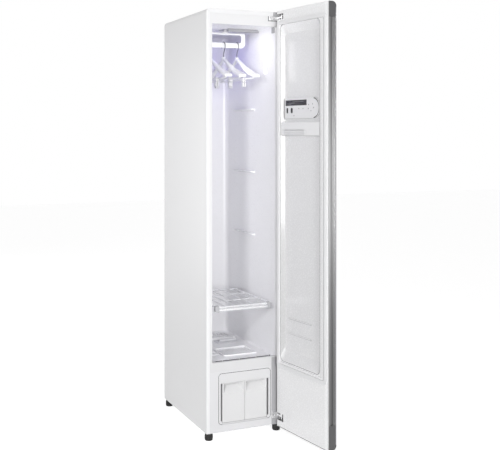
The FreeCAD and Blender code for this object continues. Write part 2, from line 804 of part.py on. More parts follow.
def add_hangers():
    for name, x in (("left", -hanger_spacing), ("middle", 0.0), ("right", hanger_spacing)):
        wire, neck_z = hook(x)
        bar_z = neck_z - trouser_bar_drop
        parts["hook_" + name] = wire
        parts["hanger_" + name] = hanger(x, wire, neck_z)
        parts["clips_" + name] = group(clip(x, hoop_y + side * clip_offset, bar_z) for side in (-1, 1))


# ---- hinges ----

door_inner_y = front_y - door_gap
door_core = door_thickness - door_glass
door_top = top_z + door_rise
pin_x = half_width - hinge_inset
pin_y = door_inner_y - hinge_depth
plate_thickness = 3.0
arm_half = 6.0
hub_radius = 7.0
notch_width = 46.0
notch_depth = 34.0
upper_notch = (door_top - 40.0, door_top - 14.0)
lower_notch = (door_bottom + 28.0, door_bottom + 61.0)
pin_reach = 10.0
hinge_cap_depth = 4.5


def hinge_bracket(plate_x0, plate_z0, plate_z1, arm_z0, arm_z1, hub_top, notch):
    """Plate on the case front with an arm to the hinge pin, which stands up and down from it."""
    plate = slab("xz", plate_x0, pin_x + arm_half, plate_z0, plate_z1, front_y - plate_thickness, front_y, 2)
    arm = box(pin_x - arm_half, pin_x + arm_half, pin_y, front_y, arm_z0, arm_z1)
    hub = cylinder(pin_x, pin_y, arm_z0, hub_radius, hub_top - arm_z0)
    pin = cylinder(pin_x, pin_y, notch[0] - pin_reach, hinge_pin_radius, notch[1] - notch[0] + 2 * pin_reach)
    rib = box(pin_x - 2, pin_x + 2, front_y - plate_thickness - 8, front_y, plate_z0 + 2, arm_z0 + 1)
    countersinks = [Part.makeCone(2.2, 4.2, 2, vec(x, front_y - 1, (plate_z0 + plate_z1) / 2), vec(0, -1, 0))
                    for x in (plate_x0 + 9, plate_x0 + 24)]
    return cut(join([plate, arm, hub, pin, rib]), *countersinks)


def upper_hinge_bracket():
    centre = (upper_notch[0] + upper_notch[1]) / 2
    return hinge_bracket(half_width - 65, centre - 14, centre + 6, centre - 4, centre + 4, centre + 5, upper_notch)


def upper_hinge_cap():
    """Grey cap on the header above the upper hinge plate."""
    low = (upper_notch[0] + upper_notch[1]) / 2 + 6 + face_gap
    cap = slab("xz", half_width - 43, half_width - 21, low, top_z - 2, front_y - hinge_cap_depth, front_y, 2)
    return rounded(cap, 1.5, lambda edge, at: at.y < front_y - hinge_cap_depth + 0.01)


def lower_hinge_bracket():
    low = lower_notch[0] + 11
    return hinge_bracket(half_width - 51, low - 7, low + 19, low, low + 8, lower_notch[1] - face_gap,
                         lower_notch)


# ---- door, drawn closed and then turned open ----

def door_slab(x0, x1, z0, z1, n0, n1, radius=0.0, radii=None):
    """Slab in the door: x from its hinge edge, n from its inner face towards its outer face."""
    return slab("xz", half_width - x1, half_width - x0, z0, z1, door_inner_y - n1, door_inner_y - n0,
                radius, radii)


def opened(shape):
    turned = shape.copy()
    turned.rotate(vec(pin_x, pin_y, 0), vec(0, 0, 1), door_open_angle)
    return turned


tray_rim = (26.0, body_width - 56.0, door_bottom + 297.0, door_top - 64.0)
tray_floor = (34.0, body_width - 70.0, tray_rim[2] + 44.0, tray_rim[3] - 38.0)


def tray_wire(limits, radius, depth):
    x0, x1, z0, z1 = limits
    wire = rounded_wire(half_width - x1, half_width - x0, z0, z1, four(radius))
    wire.rotate(vec(0, 0, 0), vec(1, 0, 0), 90)
    wire.translate(vec(0, door_inner_y - depth, 0))
    return wire


def tray_volume():
    """Recess in the door's inner face, with sloped walls."""
    return Part.makeLoft([tray_wire(tray_rim, 22, 0), tray_wire(tray_floor, 16, tray_depth)], True, True)


cap_heights = ((door_bottom, door_bottom + lower_cap_length), (door_top - upper_cap_length, door_top))
hinge_block_width = 50.0
trim_channel = (11.0, 26.0)
trim_channel_depth = 4.0
trim_line = (31.0, 32.5)


def door_notch(notch):
    return door_slab(-1, notch_width, notch[0], notch[1], -1, notch_depth)


def hinge_block(low, high):
    return door_slab(0, hinge_block_width, low, high, door_skin, door_core)


def glass_heights(low, high):
    """The part of a height range that lies between the two end bars."""
    return max(low, door_bottom + cap_bar), min(high, door_top - cap_bar)


def end_cap(low, high, bar_low, notch):
    """Moulded door end: a bar across, a leg on each edge and the block that holds the hinge bush."""
    bar = door_slab(0, body_width, bar_low, bar_low + cap_bar, door_skin, door_thickness)
    outer_z = door_bottom if bar_low < top_z / 2 else door_top
    bar = rounded(bar, cap_round, lambda edge, at: along(edge, "x") and abs(at.z - outer_z) < 0.01
                  and at.y < door_inner_y - door_core)
    legs = [door_slab(x, x + door_trim, low, high, door_skin, door_core) for x in (0, body_width - door_trim)]
    legs = [leg.common(door_slab(0, body_width, *glass_heights(low, high), 0, door_core)) for leg in legs]
    block = hinge_block(notch[0] - 20, notch[1] + 14)
    block = block.common(door_slab(0, body_width, *glass_heights(low, high), 0, door_core))
    bore = cylinder(pin_x, pin_y, notch[0] - pin_reach - 1, hinge_pin_radius + bearing_gap,
                    notch[1] - notch[0] + 2 * pin_reach + 2)
    return cut(join([bar, block] + legs), door_notch(notch), bore)


def door_end_caps():
    (low0, low1), (high0, high1) = cap_heights
    return [end_cap(low0, low1, low0, lower_notch), end_cap(high0, high1, high1 - cap_bar, upper_notch)]


def door_side_trims():
    """Metal strips down both door edges, with a channel for the fingers and a line near the glass."""
    trims = []
    for side in (-1, 1):
        strip = box(half_width - door_trim, half_width, door_inner_y - door_core, door_inner_y - door_skin,
                    cap_heights[0][1], cap_heights[1][0])
        channel = slab("xy", half_width - trim_channel_depth, half_width + 9, door_inner_y - trim_channel[1],
                       door_inner_y - trim_channel[0], 0, top_z, radii=(3, 0, 0, 3))
        line = box(half_width - 1.2, half_width + 1, door_inner_y - trim_line[1], door_inner_y - trim_line[0], 0, top_z)
        strip = cut(strip, channel, line)
        trims.append(strip if side > 0 else mirrored_x(strip))
    return trims


ridge_heights = (tray_rim[2] + 123.0, tray_rim[2] + 187.0)


def door_liner():
    """Foam-filled inner half of the door: a skin out to the edges, the recess, hem ridges and raised rib."""
    skin = door_slab(0, body_width, door_bottom, door_top, 0, door_skin)
    body = door_slab(door_trim, body_width - door_trim, *glass_heights(door_bottom, door_top), door_skin / 2, door_core)
    rib_low = tray_rim[2] - 15
    rib_right = body_width - 27
    rib_side = door_slab(rib_right - 11, rib_right, rib_low, tray_rim[3], -5, 0.5, 5)
    rib_under = door_slab(tray_rim[0] - 2, rib_right, rib_low, rib_low + 9, -5, 0.5, 4)
    ridges = [door_slab(57, body_width - 138, z - 2.5, z + 2.5, tray_depth - 3, tray_depth + 1, 2.4)
              for z in ridge_heights]
    shell = cut(join([skin, body]), tray_volume())
    room = [door_notch(notch) for notch in (lower_notch, upper_notch)]
    blocks = [hinge_block(notch[0] - 20, notch[1] + 14) for notch in (lower_notch, upper_notch)]
    return cut(join([shell, rib_side, rib_under] + ridges), *(room + blocks))


def door_gasket():
    """Magnetic gasket ring with a bellows groove round its outside."""
    edge = gasket_edge
    low = tray_rim[2] - 30
    high = tray_rim[3] + 15
    ring = door_slab(edge, body_width - edge, low, high, -gasket_height, 0, 14)
    hole = door_slab(edge + gasket_width, body_width - edge - gasket_width, low + gasket_width,
                     high - gasket_width, -gasket_height - 1, 1, 6)
    groove_out = cut(door_slab(edge - 2, body_width - edge + 2, low - 2, high + 2, -4.2, -2.2, 16),
                     door_slab(edge + 2.5, body_width - edge - 2.5, low + 2.5, high - 2.5, -5, 0, 11.5))
    return cut(ring, hole, groove_out)


def door_panel():
    """Outer glass panel between the two end bars, with eased long edges."""
    glass = door_slab(0, body_width, *glass_heights(door_bottom, door_top), door_core, door_thickness)
    return rounded(glass, 1.5, lambda edge, at: at.y < door_inner_y - door_thickness + 0.01 and along(edge, "z"))


panel_face = 10.0
panel_x0 = 45.0
panel_x1 = body_width - 70.0
panel_z0 = door_top - 474.0
panel_z1 = panel_z0 + 88.0
buttons = {"power_button": (64.0, 9.0), "start_button": (96.0, 12.0)}
button_z0 = panel_z0 + 24.0
button_z1 = panel_z0 + 47.0
button_stand = 1.5
button_length = 6.0
button_pocket = 6.5
window_limits = (51.0, body_width - 158.0, panel_z0 + 56.0, panel_z0 + 80.0)
window_thickness = 1.5


def control_panel():
    """D-shaped control panel on the recess floor, with the display seat and the button wells."""
    end = (panel_z1 - panel_z0) / 2 - 0.01
    body = door_slab(panel_x0, panel_x1, panel_z0, panel_z1, panel_face, tray_depth, radii=(end, 6, 6, end))
    body = rounded(body, 1.5, lambda edge, at: at.y > door_inner_y - panel_face - 0.01)
    seat = door_slab(*window_limits, panel_face - 1, panel_face + window_thickness, 2)
    wells = [door_slab(x - width / 2 - face_gap, x + width / 2 + face_gap, button_z0 - face_gap,
                       button_z1 + face_gap, panel_face - 1, panel_face + button_pocket, width / 2 + face_gap - 0.01)
             for x, width in buttons.values()]
    return cut(body, seat, *wells)


def display_window():
    return door_slab(*window_limits, panel_face, panel_face + window_thickness, 2)


def button(x, width):
    """Push button with a rounded outline, standing proud of the panel."""
    body = door_slab(x - width / 2, x + width / 2, button_z0, button_z1, panel_face - button_stand,
                     panel_face - button_stand + button_length, width / 2 - 0.01)
    return rounded(body, 0.6, lambda edge, at: at.y > door_inner_y - panel_face + button_stand - 0.01)


holder_limits = (30.0, body_width - 60.0, panel_z0 - 73.0, panel_z0 - 15.0)
clamp_limits = (50.0, body_width - 164.0, holder_limits[2] + 2.0, holder_limits[2] + 24.5)
clamp_face = 1.0
clamp_thickness = 7.0
clamp_pin_radius = 2.0


def clamp_pivot():
    return clamp_limits[3] - clamp_thickness / 2, clamp_face + clamp_thickness / 2


def trouser_holder():
    """Hem holder across the recess, with the pocket and pin bores of its clamp bar."""
    block = door_slab(*holder_limits, clamp_face, tray_depth).common(tray_volume())
    block = rounded(block, 2.5, lambda edge, at: at.y > door_inner_y - clamp_face - 0.01 and along(edge, "x"))
    x0, x1, low, high = clamp_limits
    pocket = door_slab(x0 - face_gap, x1 + face_gap, holder_limits[2] - 1, high + 1.5, clamp_face - 1,
                       clamp_face + clamp_thickness + 1)
    pivot_z, pivot_n = clamp_pivot()
    bore = cylinder(half_width - x1 - 4, door_inner_y - pivot_n, pivot_z, clamp_pin_radius + bearing_gap,
                    x1 - x0 + 8, (1, 0, 0))
    screw_hole = cylinder(half_width - x1 - 14, door_inner_y - 6, pivot_z - 6, 1.8, 10, (0, 1, 0))
    return cut(block, pocket, bore, screw_hole)


def trouser_clamp():
    """Clamp bar with a rounded back at its pivot and a ribbed lower lip."""
    x0, x1, low, high = clamp_limits
    top_radius = clamp_thickness / 2 - 0.01
    bar = slab("yz", door_inner_y - clamp_face - clamp_thickness, door_inner_y - clamp_face, low, high,
               half_width - x1, half_width - x0, radii=(1, 1, top_radius, top_radius))
    pivot_z, pivot_n = clamp_pivot()
    pin = cylinder(half_width - x1 - 3.5, door_inner_y - pivot_n, pivot_z, clamp_pin_radius, x1 - x0 + 7, (1, 0, 0))
    grooves = [cylinder(half_width - x1 - 1, door_inner_y - clamp_face + 0.4, z, 1, x1 - x0 + 2, (1, 0, 0))
               for z in (low + 5, low + 9)]
    return cut(join([bar, pin]), *grooves)


def add_door():
    parts["door_panel"] = opened(door_panel())
    parts["door_side_trims"] = opened(group(door_side_trims()))
    parts["door_end_caps"] = opened(group(door_end_caps()))
    parts["door_liner"] = opened(door_liner())
    parts["door_gasket"] = opened(door_gasket())
    parts["control_panel"] = opened(control_panel())
    parts["display_window"] = opened(display_window())
    for name, (x, width) in buttons.items():
        parts[name] = opened(button(x, width))
    parts["trouser_holder"] = opened(trouser_holder())
    parts["trouser_clamp"] = opened(trouser_clamp())


# ---- lower compartment ----

def lower_front_cover():
    """Front cover below the garment space with the opening for the tank bay."""
    plate = box(-half_width + flange_width, cover_edge, front_y, front_y + cover_wall, base_z, cover_top)
    grow = groove_width / 2
    opening = slab("xz", -bay_half_width - grow, bay_half_width + grow, bay_bottom - grow, bay_top + grow,
                   front_y - 1, front_y + cover_wall + 1, bay_corner + grow)
    return cut(plate, opening)


def hinge_post_cover():
    """Grey cover over the hinge-side post, with a separate-looking cap step at its top."""
    side = half_width - flange_width
    post = box(cover_edge, side, front_y, front_y + cover_wall, post_bottom, post_top)
    post = rounded(post, 1.2, lambda edge, at: at.y < front_y + 0.01 and along(edge, "z"))
    step = box(cover_edge - 1, side + 1, front_y - 1, front_y + 0.6, post_top - 12, post_top - 11)
    foot_strip = box(cover_edge, side, front_y, front_y + cover_wall, base_z, post_bottom)
    return cut(join([post, foot_strip]), step)


def tank_bay():
    """Drawer bay for both tanks: front frame, rear flange and a closed tunnel."""
    shrink = groove_width / 2
    front = slab("xz", -bay_half_width + shrink, bay_half_width - shrink, bay_bottom + shrink, bay_top - shrink,
                 front_y, front_y + cover_wall, bay_corner - shrink)
    back = front_y + tank_depth + 18
    flange = slab("xz", -bay_half_width - 4, bay_half_width + 4, bay_bottom - 6, bay_top + 4,
                  front_y + cover_wall, front_y + cover_wall + 2, bay_corner + 4)
    tunnel = slab("xz", -window_half_width - 2, window_half_width + 2, window_bottom - 2, window_top + 2,
                  front_y + cover_wall, back + 2, 8)
    room = slab("xz", -window_half_width, window_half_width, window_bottom, window_top, front_y - 1, back, 6)
    legs = [box(x - 4, x + 4, y - 10, y + 10, base_z + pan_wall, window_bottom - 1)
            for x in (-80, 80) for y in (-225, -90)]
    tank_side = tank_gap / 2 + tank_width
    guides = []
    for side in (-1, 1):
        near = side * (tank_side + 1)
        far = side * (window_half_width + 1)
        guides.append(box(min(near, far), max(near, far), front_y, back - 2, window_bottom - 1, window_bottom + 9))
    return join([cut(join([front, flange, tunnel] + legs), room)] + guides)


def grip_wedge(x0, x1, grow):
    """Finger grip: wide at the face, narrowing and rising to its deep end under the top lip."""
    top = window_top - 3
    wires = []
    for inset, low, high, depth in ((0, 42, 0, 0), (16, 12, 1, 26)):
        wire = rounded_wire(x0 + inset - grow, x1 - inset + grow, top - low - grow, top - high + grow, four(0))
        wire.rotate(vec(0, 0, 0), vec(1, 0, 0), 90)
        wire.translate(vec(0, front_y + (depth + grow if depth else 0), 0))
        wires.append(wire)
    return Part.makeLoft(wires, True, True)


def tank_bounds(side):
    near = tank_gap / 2
    far = near + tank_width
    return (near, far) if side > 0 else (-far, -near)


def tank(side):
    """Hollow water tank with a wedge finger grip in its front and a rim for its lid."""
    x0, x1 = tank_bounds(side)
    low = window_bottom + face_gap
    high = low + tank_height
    back = front_y + tank_depth
    body = slab("xy", x0, x1, front_y, back, low, high, radii=(2, 2, 10, 10))
    body = rounded(body, 4, lambda edge, at: at.z < low + 0.01 and at.y > front_y + 5)
    step = box(x0 - 1, x1 + 1, front_y + lid_front, back + 1, high - lid_seat, high + 1)
    wall = tank_wall
    inside = slab("xy", x0 + wall, x1 - wall, front_y + wall, back - wall, low + wall, high - lid_seat + 1,
                  radii=(4, 4, 8, 8))
    inside = cut(inside, box(x0, x1, front_y, front_y + lid_front + wall, high - lid_seat - wall, high),
                 grip_wedge(x0 + 6.5, x1 - 6.5, wall))
    spout = cylinder((x0 + x1) / 2, back - 1, low + 16, 7, 9, (0, 1, 0))
    spout_bore = cylinder((x0 + x1) / 2, back - 5, low + 16, 4.5, 20, (0, 1, 0))
    return cut(join([body, spout]), step, inside, grip_wedge(x0 + 6.5, x1 - 6.5, 0), spout_bore)


def tank_lid(side):
    """Lid with a spigot into the tank and a round filler cap with a finger bar."""
    x0, x1 = tank_bounds(side)
    seat = window_bottom + face_gap + tank_height - lid_seat
    back = front_y + tank_depth
    plate = slab("xy", x0, x1, front_y + lid_front + face_gap, back, seat, seat + 3, radii=(2, 2, 10, 10))
    wall = tank_wall + face_gap
    spigot = slab("xy", x0 + wall, x1 - wall, front_y + lid_front + tank_wall + 1, back - wall, seat - 4, seat + 1,
                  radii=(3, 3, 7, 7))
    hollow = slab("xy", x0 + wall + 2, x1 - wall - 2, front_y + lid_front + tank_wall + 3, back - wall - 2,
                  seat - 5, seat, radii=(3, 3, 5, 5))
    cap_x = (x0 + x1) / 2
    cap_y = front_y + lid_front + 45
    cap = cylinder(cap_x, cap_y, seat + 2, 22, 4)
    cap = rounded(cap, 1, lambda edge, at: at.z > seat + 5.9)
    bar_cuts = [slab("xy", cap_x - 16, cap_x + 16, cap_y + offset - 4, cap_y + offset + 4, seat + 3.6, seat + 7, 3.9)
                for offset in (-8, 8)]
    return cut(join([cut(plate, *bar_cuts), cut(spigot, hollow), cap]), *bar_cuts)


# ---- machinery behind the tanks ----

pan_top = foot_height + pan_wall
machine_side = half_width - sheet

compressor_x = 68.0 - half_width
compressor_y = back_y - 84.0
compressor_radius = 46.0
compressor_height = 150.0
compressor_plate = 56.0
compressor_post_offset = 43.0
accumulator_radius = 14.0


def compressor():
    """Hermetic compressor: domed can on a foot plate with four rubber-post bosses, and its accumulator."""
    x = compressor_x
    y = compressor_y
    radius = compressor_radius
    reach = compressor_plate
    can = cylinder(x, y, pan_top + 16, radius, compressor_height)
    can = rounded(can, 14, lambda edge, at: edge.Curve.TypeId == "Part::GeomCircle")
    band = cylinder(x, y, pan_top + 92, radius + 1.5, 6)
    plate = slab("xy", x - reach, x + reach, y - reach, y + reach, pan_top + 12, pan_top + 17, 24)
    posts = [cylinder(x + compressor_post_offset * sx, y + compressor_post_offset * sy, pan_top, 8, 22)
             for sx, sy in ((-1, -1), (1, -1), (-1, 1), (1, 1))]
    terminal = cylinder(x, y, pan_top + compressor_height + 10, 14, 14)
    beside = radius + 12
    accumulator = cylinder(x + beside, y - 30, pan_top + 60, accumulator_radius, compressor_height * 0.6)
    link = box(x + 30, x + beside, y - 33, y - 27, pan_top + 100, pan_top + 106)
    return join([can, band, plate, terminal, accumulator, link] + posts)


coil_thickness = 44.0
coil_front = -40.0
coil_back = 84.0
coil_bottom = foot_height + 28.0
coil_top = sill_height - 65.0
coil_places = {"evaporator": 16.0, "condenser": 78.0}
fin_thickness = 1.2
fin_count = 16
tube_rows = 5
tube_radius = 4.0
end_plate = 2.0


def finned_coil(x0):
    """Fin-and-tube coil: end plates that stand on the pan, fins between them and tube bends outside."""
    x1 = x0 + coil_thickness
    plates = [box(x0, x1, y, y + end_plate, pan_top, coil_top) for y in (coil_front, coil_back - end_plate)]
    pitch = (coil_back - coil_front - 2 * end_plate) / fin_count
    blades = []
    for index in range(fin_count):
        y = coil_front + end_plate + pitch * (index + 0.5)
        blades.append(box(x0 + 2, x1 - 2, y - fin_thickness / 2, y + fin_thickness / 2, coil_bottom, coil_top))
    middle = (x0 + x1) / 2
    step = (coil_top - coil_bottom) / tube_rows
    length = coil_back - coil_front + 12
    tubes = [cylinder(middle, coil_front - 6, coil_bottom + step * (row + 0.5), tube_radius, length, (0, 1, 0))
             for row in range(tube_rows)]
    bends = []
    for row in range(tube_rows - 1):
        y = coil_back + 5 if row % 2 else coil_front - 6
        low = coil_bottom + step * (row + 0.5)
        bends.append(box(middle - 3, middle + 3, y, y + 1, low, low + step))
    return join(plates + blades + tubes + bends)


fan_x = -72.0
fan_z = 168.0
fan_y0 = -42.0
fan_y1 = 18.0
fan_wall = 2.0
rotor_radius = 54.0
rotor_gap = 5.0
scroll_growth = 26.0
inlet_radius = 39.0
axle_radius = 3.0
fan_outlet_x = 8.0


def scroll_wire(grow, outlet_x):
    """Scroll outline in XZ: a spiral of three quarters of a turn and an outlet duct at the top."""
    steps = 12
    points = []
    for index in range(steps + 1):
        angle = math.radians(90 + index * 270 / steps)
        radius = rotor_radius + rotor_gap + 3 + scroll_growth * (1 - index / steps) + grow
        points.append(vec(fan_x + radius * math.cos(angle), 0, fan_z + radius * math.sin(angle)))
    spiral = Part.BSplineCurve()
    spiral.interpolate(points)
    low = fan_z + rotor_radius * 0.45 - grow
    end = points[-1]
    tongue = vec(end.x, 0, low)
    return Part.Wire([spiral.toShape(),
                      Part.LineSegment(end, tongue).toShape(),
                      Part.LineSegment(tongue, vec(outlet_x, 0, low)).toShape(),
                      Part.LineSegment(vec(outlet_x, 0, low), vec(outlet_x, 0, points[0].z)).toShape(),
                      Part.LineSegment(vec(outlet_x, 0, points[0].z), points[0]).toShape()])


def scroll_solid(grow, outlet_x, y0, y1):
    face = Part.Face(scroll_wire(grow, outlet_x))
    solid = face.extrude(vec(0, y1 - y0, 0))
    solid.translate(vec(0, y0, 0))
    return solid


def fan_housing():
    """Blower scroll with an inlet ring, an open outlet, two legs and the motor stub that carries the rotor."""
    outer = scroll_solid(fan_wall, fan_outlet_x, fan_y0, fan_y1)
    inner = scroll_solid(0, fan_outlet_x + 1, fan_y0 + fan_wall, fan_y1 - fan_wall)
    inlet = cylinder(fan_x, fan_y1 - fan_wall - 1, fan_z, inlet_radius, 10, (0, 1, 0))
    ring = cut(cylinder(fan_x, fan_y1 - 1, fan_z, inlet_radius + 4, 6, (0, 1, 0)), inlet)
    legs = [box(fan_x + x - 4, fan_x + x + 4, fan_y0, fan_y0 + fan_wall, pan_top, fan_z - rotor_radius)
            for x in (-40, 40)]
    motor = cylinder(fan_x, fan_y0 - 14, fan_z, 26, 15, (0, 1, 0))
    axle = cylinder(fan_x, fan_y0 - 1, fan_z, axle_radius, 48, (0, 1, 0))
    return join([cut(outer, inner, inlet), ring, motor, axle] + legs)


blade_count = 24
blade_curve = 12.0
blade_thickness = 1.2
blade_depth = 9.0


def fan_rotor():
    """Forward-curved blower wheel: hub, back disc, blades on a circle and a shroud ring."""
    y0 = fan_y0 + fan_wall + 3
    y1 = fan_y1 - fan_wall - 4
    width = y1 - y0
    inner_radius = rotor_radius - blade_depth
    disc = cylinder(fan_x, y0, fan_z, rotor_radius, 2.5, (0, 1, 0))
    hub = cylinder(fan_x, y0, fan_z, 9, 34, (0, 1, 0))
    ring = cut(cylinder(fan_x, y1 - 3, fan_z, rotor_radius, 3, (0, 1, 0)),
               cylinder(fan_x, y1 - 4, fan_z, inner_radius, 5, (0, 1, 0)))
    curve_x = fan_x + blade_curve - 1
    curve_z = fan_z + rotor_radius - blade_curve / 2
    blade_arc = cut(cylinder(curve_x, y0 + 1, curve_z, blade_curve, width - 2, (0, 1, 0)),
                    cylinder(curve_x, y0, curve_z, blade_curve - blade_thickness, width, (0, 1, 0)))
    annulus = cut(cylinder(fan_x, y0, fan_z, rotor_radius - 0.5, width, (0, 1, 0)),
                  cylinder(fan_x, y0 - 1, fan_z, inner_radius, width + 2, (0, 1, 0)))
    half = box(fan_x - 8, fan_x + 8, y0, y1, fan_z + 20, fan_z + rotor_radius + 5)
    blade = blade_arc.common(annulus).common(half)
    blades = []
    for index in range(blade_count):
        turned = blade.copy()
        turned.rotate(vec(fan_x, 0, fan_z), vec(0, 1, 0), index * 360 / blade_count)
        blades.append(turned)
    bore = cylinder(fan_x, y0 - 5, fan_z, axle_radius + bearing_gap, 60, (0, 1, 0))
    return cut(join([disc, hub, ring] + blades), bore)


boiler_width = 98.0
boiler_depth = 86.0
boiler_height = 70.0


def steam_generator():
    """Boiler body with a flanged lid, ribs, a steam outlet and mounting feet."""
    x1 = half_width - 20
    x0 = x1 - boiler_width
    y1 = back_y - 34
    y0 = y1 - boiler_depth
    low = pan_top + 8
    high = low + boiler_height
    body = slab("xy", x0, x1, y0, y1, low, high, 14)
    lid = slab("xy", x0 - 5, x1 + 5, y0 - 5, y1 + 5, high - 18, high - 12, 16)
    ribs = [slab("xy", x0 - 2.5, x1 + 2.5, y0 - 2.5, y1 + 2.5, z, z + 3, 15) for z in (low + 10, low + 22, low + 34)]
    dome = cylinder((x0 + x1) / 2, (y0 + y1) / 2, high - 8, 20, 24)
    dome = rounded(dome, 8, lambda edge, at: at.z > high + 15)
    outlet = cylinder(x0 + 22, y0 + 20, high - 8, 7, 34)
    feet = [cylinder(x, y, pan_top, 7, 10) for x in (x0 + 12, x1 - 12) for y in (y0 + 12, y1 - 12)]
    outlet_bore = cylinder(x0 + 22, y0 + 20, high + 12, 4.5, 20)
    return cut(join([body, lid, dome, outlet] + ribs + feet), outlet_bore)


pump_x = 6.0
pump_y = back_y - 70.0
drum_radius = 18.0
drum_length = 44.0
pump_head_radius = 22.0
stub_radius = 5.0
stub_bore = 3.0


def water_pump():
    """Small pump: motor drum on a saddle, pump head and two hose stubs."""
    x = pump_x
    y = pump_y
    z = pan_top + 26
    drum = cylinder(x - 30, y, z, drum_radius, drum_length, (1, 0, 0))
    head = cylinder(x + 13, y, z, pump_head_radius, 16, (1, 0, 0))
    stub_side = cylinder(x + 28, y, z, stub_radius, 12, (1, 0, 0))
    stub_up = cylinder(x + 21, y, z + 18, stub_radius, 18)
    saddle = box(x - 26, x + 10, y - 16, y + 16, pan_top, z - 8)
    bores = [cylinder(x + 33, y, z, stub_bore, 12, (1, 0, 0)), cylinder(x + 21, y, z + 26, stub_bore, 14)]
    return cut(join([drum, head, stub_side, stub_up, saddle]), *bores)


board_stand_off = 8.0
board_thickness = 1.6
board_length = 130.0
board_height = 120.0
board_y = 20.0
board_z = sill_height - 183.0


def main_board():
    """Control board on stand-offs from the right side panel, with its larger components."""
    plane = machine_side - board_stand_off
    y = board_y
    z = board_z
    board = box(plane - board_thickness, plane, y, y + board_length, z, z + board_height)
    posts = [cylinder(plane - 1, post_y, post_z, 3, board_stand_off + 1, (1, 0, 0))
             for post_y in (y + 6, y + board_length - 6) for post_z in (z + 6, z + board_height - 6)]
    sink_base = box(plane - 5, plane - 1, y + 18, y + 55, z + 68, z + 114)
    sink = [box(plane - 26, plane - 1, y + 20 + 7 * index, y + 23 + 7 * index, z + 70, z + 112) for index in range(5)]
    capacitors = [cylinder(plane - 24, y + 72 + 20 * index, z + 98, 8, 23, (1, 0, 0)) for index in range(3)]
    relays = [box(plane - 17, plane - 1, y + 14 + 26 * index, y + 34 + 26 * index, z + 14, z + 42)
              for index in range(4)]
    return join([board, sink_base] + posts + sink + capacitors + relays)


# ---- loose shelf ----

def low_rail_z():
    return ledge_first_height + face_gap + shelf_rail / 2 - low_rail_drop


def shelf():
    """Wire shelf: a rounded rail loop, a lower front rail, cross rods and bent front-to-back wires."""
    rail = shelf_rail / 2
    z = ledge_first_height + face_gap + rail
    x = shelf_half_width - rail
    front = front_y + shelf_setback
    back = front + shelf_depth - 2 * rail
    half_back = [vec(0, back, z), vec(x, back, z), vec(x, front, z), vec(0, front, z)]
    right_loop = bent_rod(half_back, shelf_bend, rail)
    loop = join([right_loop, mirrored_x(right_loop)])
    low_z = low_rail_z()
    low_rail = cylinder(-x + 6, front, low_z, low_rail_radius, 2 * x - 12, (1, 0, 0))
    posts = [cylinder(side * (x - 22), front, low_z, 3, low_rail_drop) for side in (-1, 1)]
    rods = [cylinder(-x, y, z, 2.5, 2 * x, (1, 0, 0)) for y in (front + shelf_depth / 3, front + shelf_depth * 2 / 3)]
    wires = []
    count = int((x - 10) / shelf_wire_pitch)
    deck = z + rail - 0.5
    for index in range(-count, count + 1):
        at = index * shelf_wire_pitch
        line = [vec(at, back + 1, deck), vec(at, front - rail - 1, deck), vec(at, front - rail - 1, low_z)]
        wires.append(bent_rod(line, 6, shelf_wire / 2))
    return join([loop, low_rail] + posts + rods + wires)


def shelf_caps(rails):
    """Dark end caps that grip both ends of the lower front rail."""
    x = shelf_half_width
    front = front_y + shelf_setback
    caps = []
    for side in (-1, 1):
        low, high = (x - shelf_cap_length, x + 2) if side > 0 else (-x - 2, -x + shelf_cap_length)
        outer = shelf_cap_round
        radii = (3, outer, outer, 3) if side > 0 else (outer, 3, 3, outer)
        body = slab("xz", low, high, low_rail_z() - 8, ledge_first_height + face_gap + shelf_rail + 4,
                    front - 9, front + 9, radii=radii)
        body = rounded(body, 2.5, lambda edge, at: at.y < front - 8.9)
        caps.append(cut(body, rails))
    return group(caps)


# ---- assembly ----

def add_case():
    shell = case_shell()
    right = side_panel(shell)
    parts["side_panel_right"] = right
    parts["side_panel_left"] = mirrored_x(right)
    parts["top_panel"] = top_panel(shell)
    parts["back_panel"] = back_panel()
    parts["base_pan"] = base_pan()
    parts["front_frame"] = front_frame()
    parts["insulation_jacket"] = insulation_jacket()
    parts["inner_liner"] = inner_liner()
    parts["floor_tray"] = floor_tray()
    parts["lower_front_cover"] = lower_front_cover()
    parts["hinge_covers"] = group((hinge_post_cover(), upper_hinge_cap()))
    parts["tank_bay"] = tank_bay()
    parts["cord_gland"] = cord_gland()
    parts["upper_hinge_bracket"] = upper_hinge_bracket()
    parts["lower_hinge_bracket"] = lower_hinge_bracket()
    for name, (x, y) in foot_places().items():
        parts[name] = foot(x, y)


def add_inside():
    parts["drive_cover"] = drive_cover()
    parts["hanger_motor"] = hanger_motor()
    parts["crank"] = crank()
    parts["hanger_hoop"] = hoop()
    add_hangers()
    parts["light_lens"] = light_lens()
    parts["door_sensor"] = door_sensor()
    parts["lint_filter"] = lint_filter()
    parts["shelf"] = shelf()
    parts["shelf_caps"] = shelf_caps(parts["shelf"])
    for name, side in (("supply_tank", -1), ("drain_tank", 1)):
        parts[name] = tank(side)
        parts[name + "_lid"] = tank_lid(side)


def add_machinery():
    parts["compressor"] = compressor()
    for name, x in coil_places.items():
        parts[name] = finned_coil(x)
    parts["fan_housing"] = fan_housing()
    parts["fan_rotor"] = fan_rotor()
    parts["steam_generator"] = steam_generator()
    parts["water_pump"] = water_pump()
    parts["main_board"] = main_board()


def write_parts():
    os.makedirs("parts", exist_ok=True)
    for node, shape in sorted(parts.items()):
        solids = shape.Solids
        whole = solids[0] if len(solids) == 1 else Part.makeCompound(solids)
        whole.exportStep("parts/" + node + ".step")
        print(node, len(solids), round(whole.Volume), whole.isValid())


add_case()
add_inside()
add_machinery()
add_door()
write_parts()
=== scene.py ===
import json
import math

import bmesh
import bpy
from mathutils import Matrix, Vector


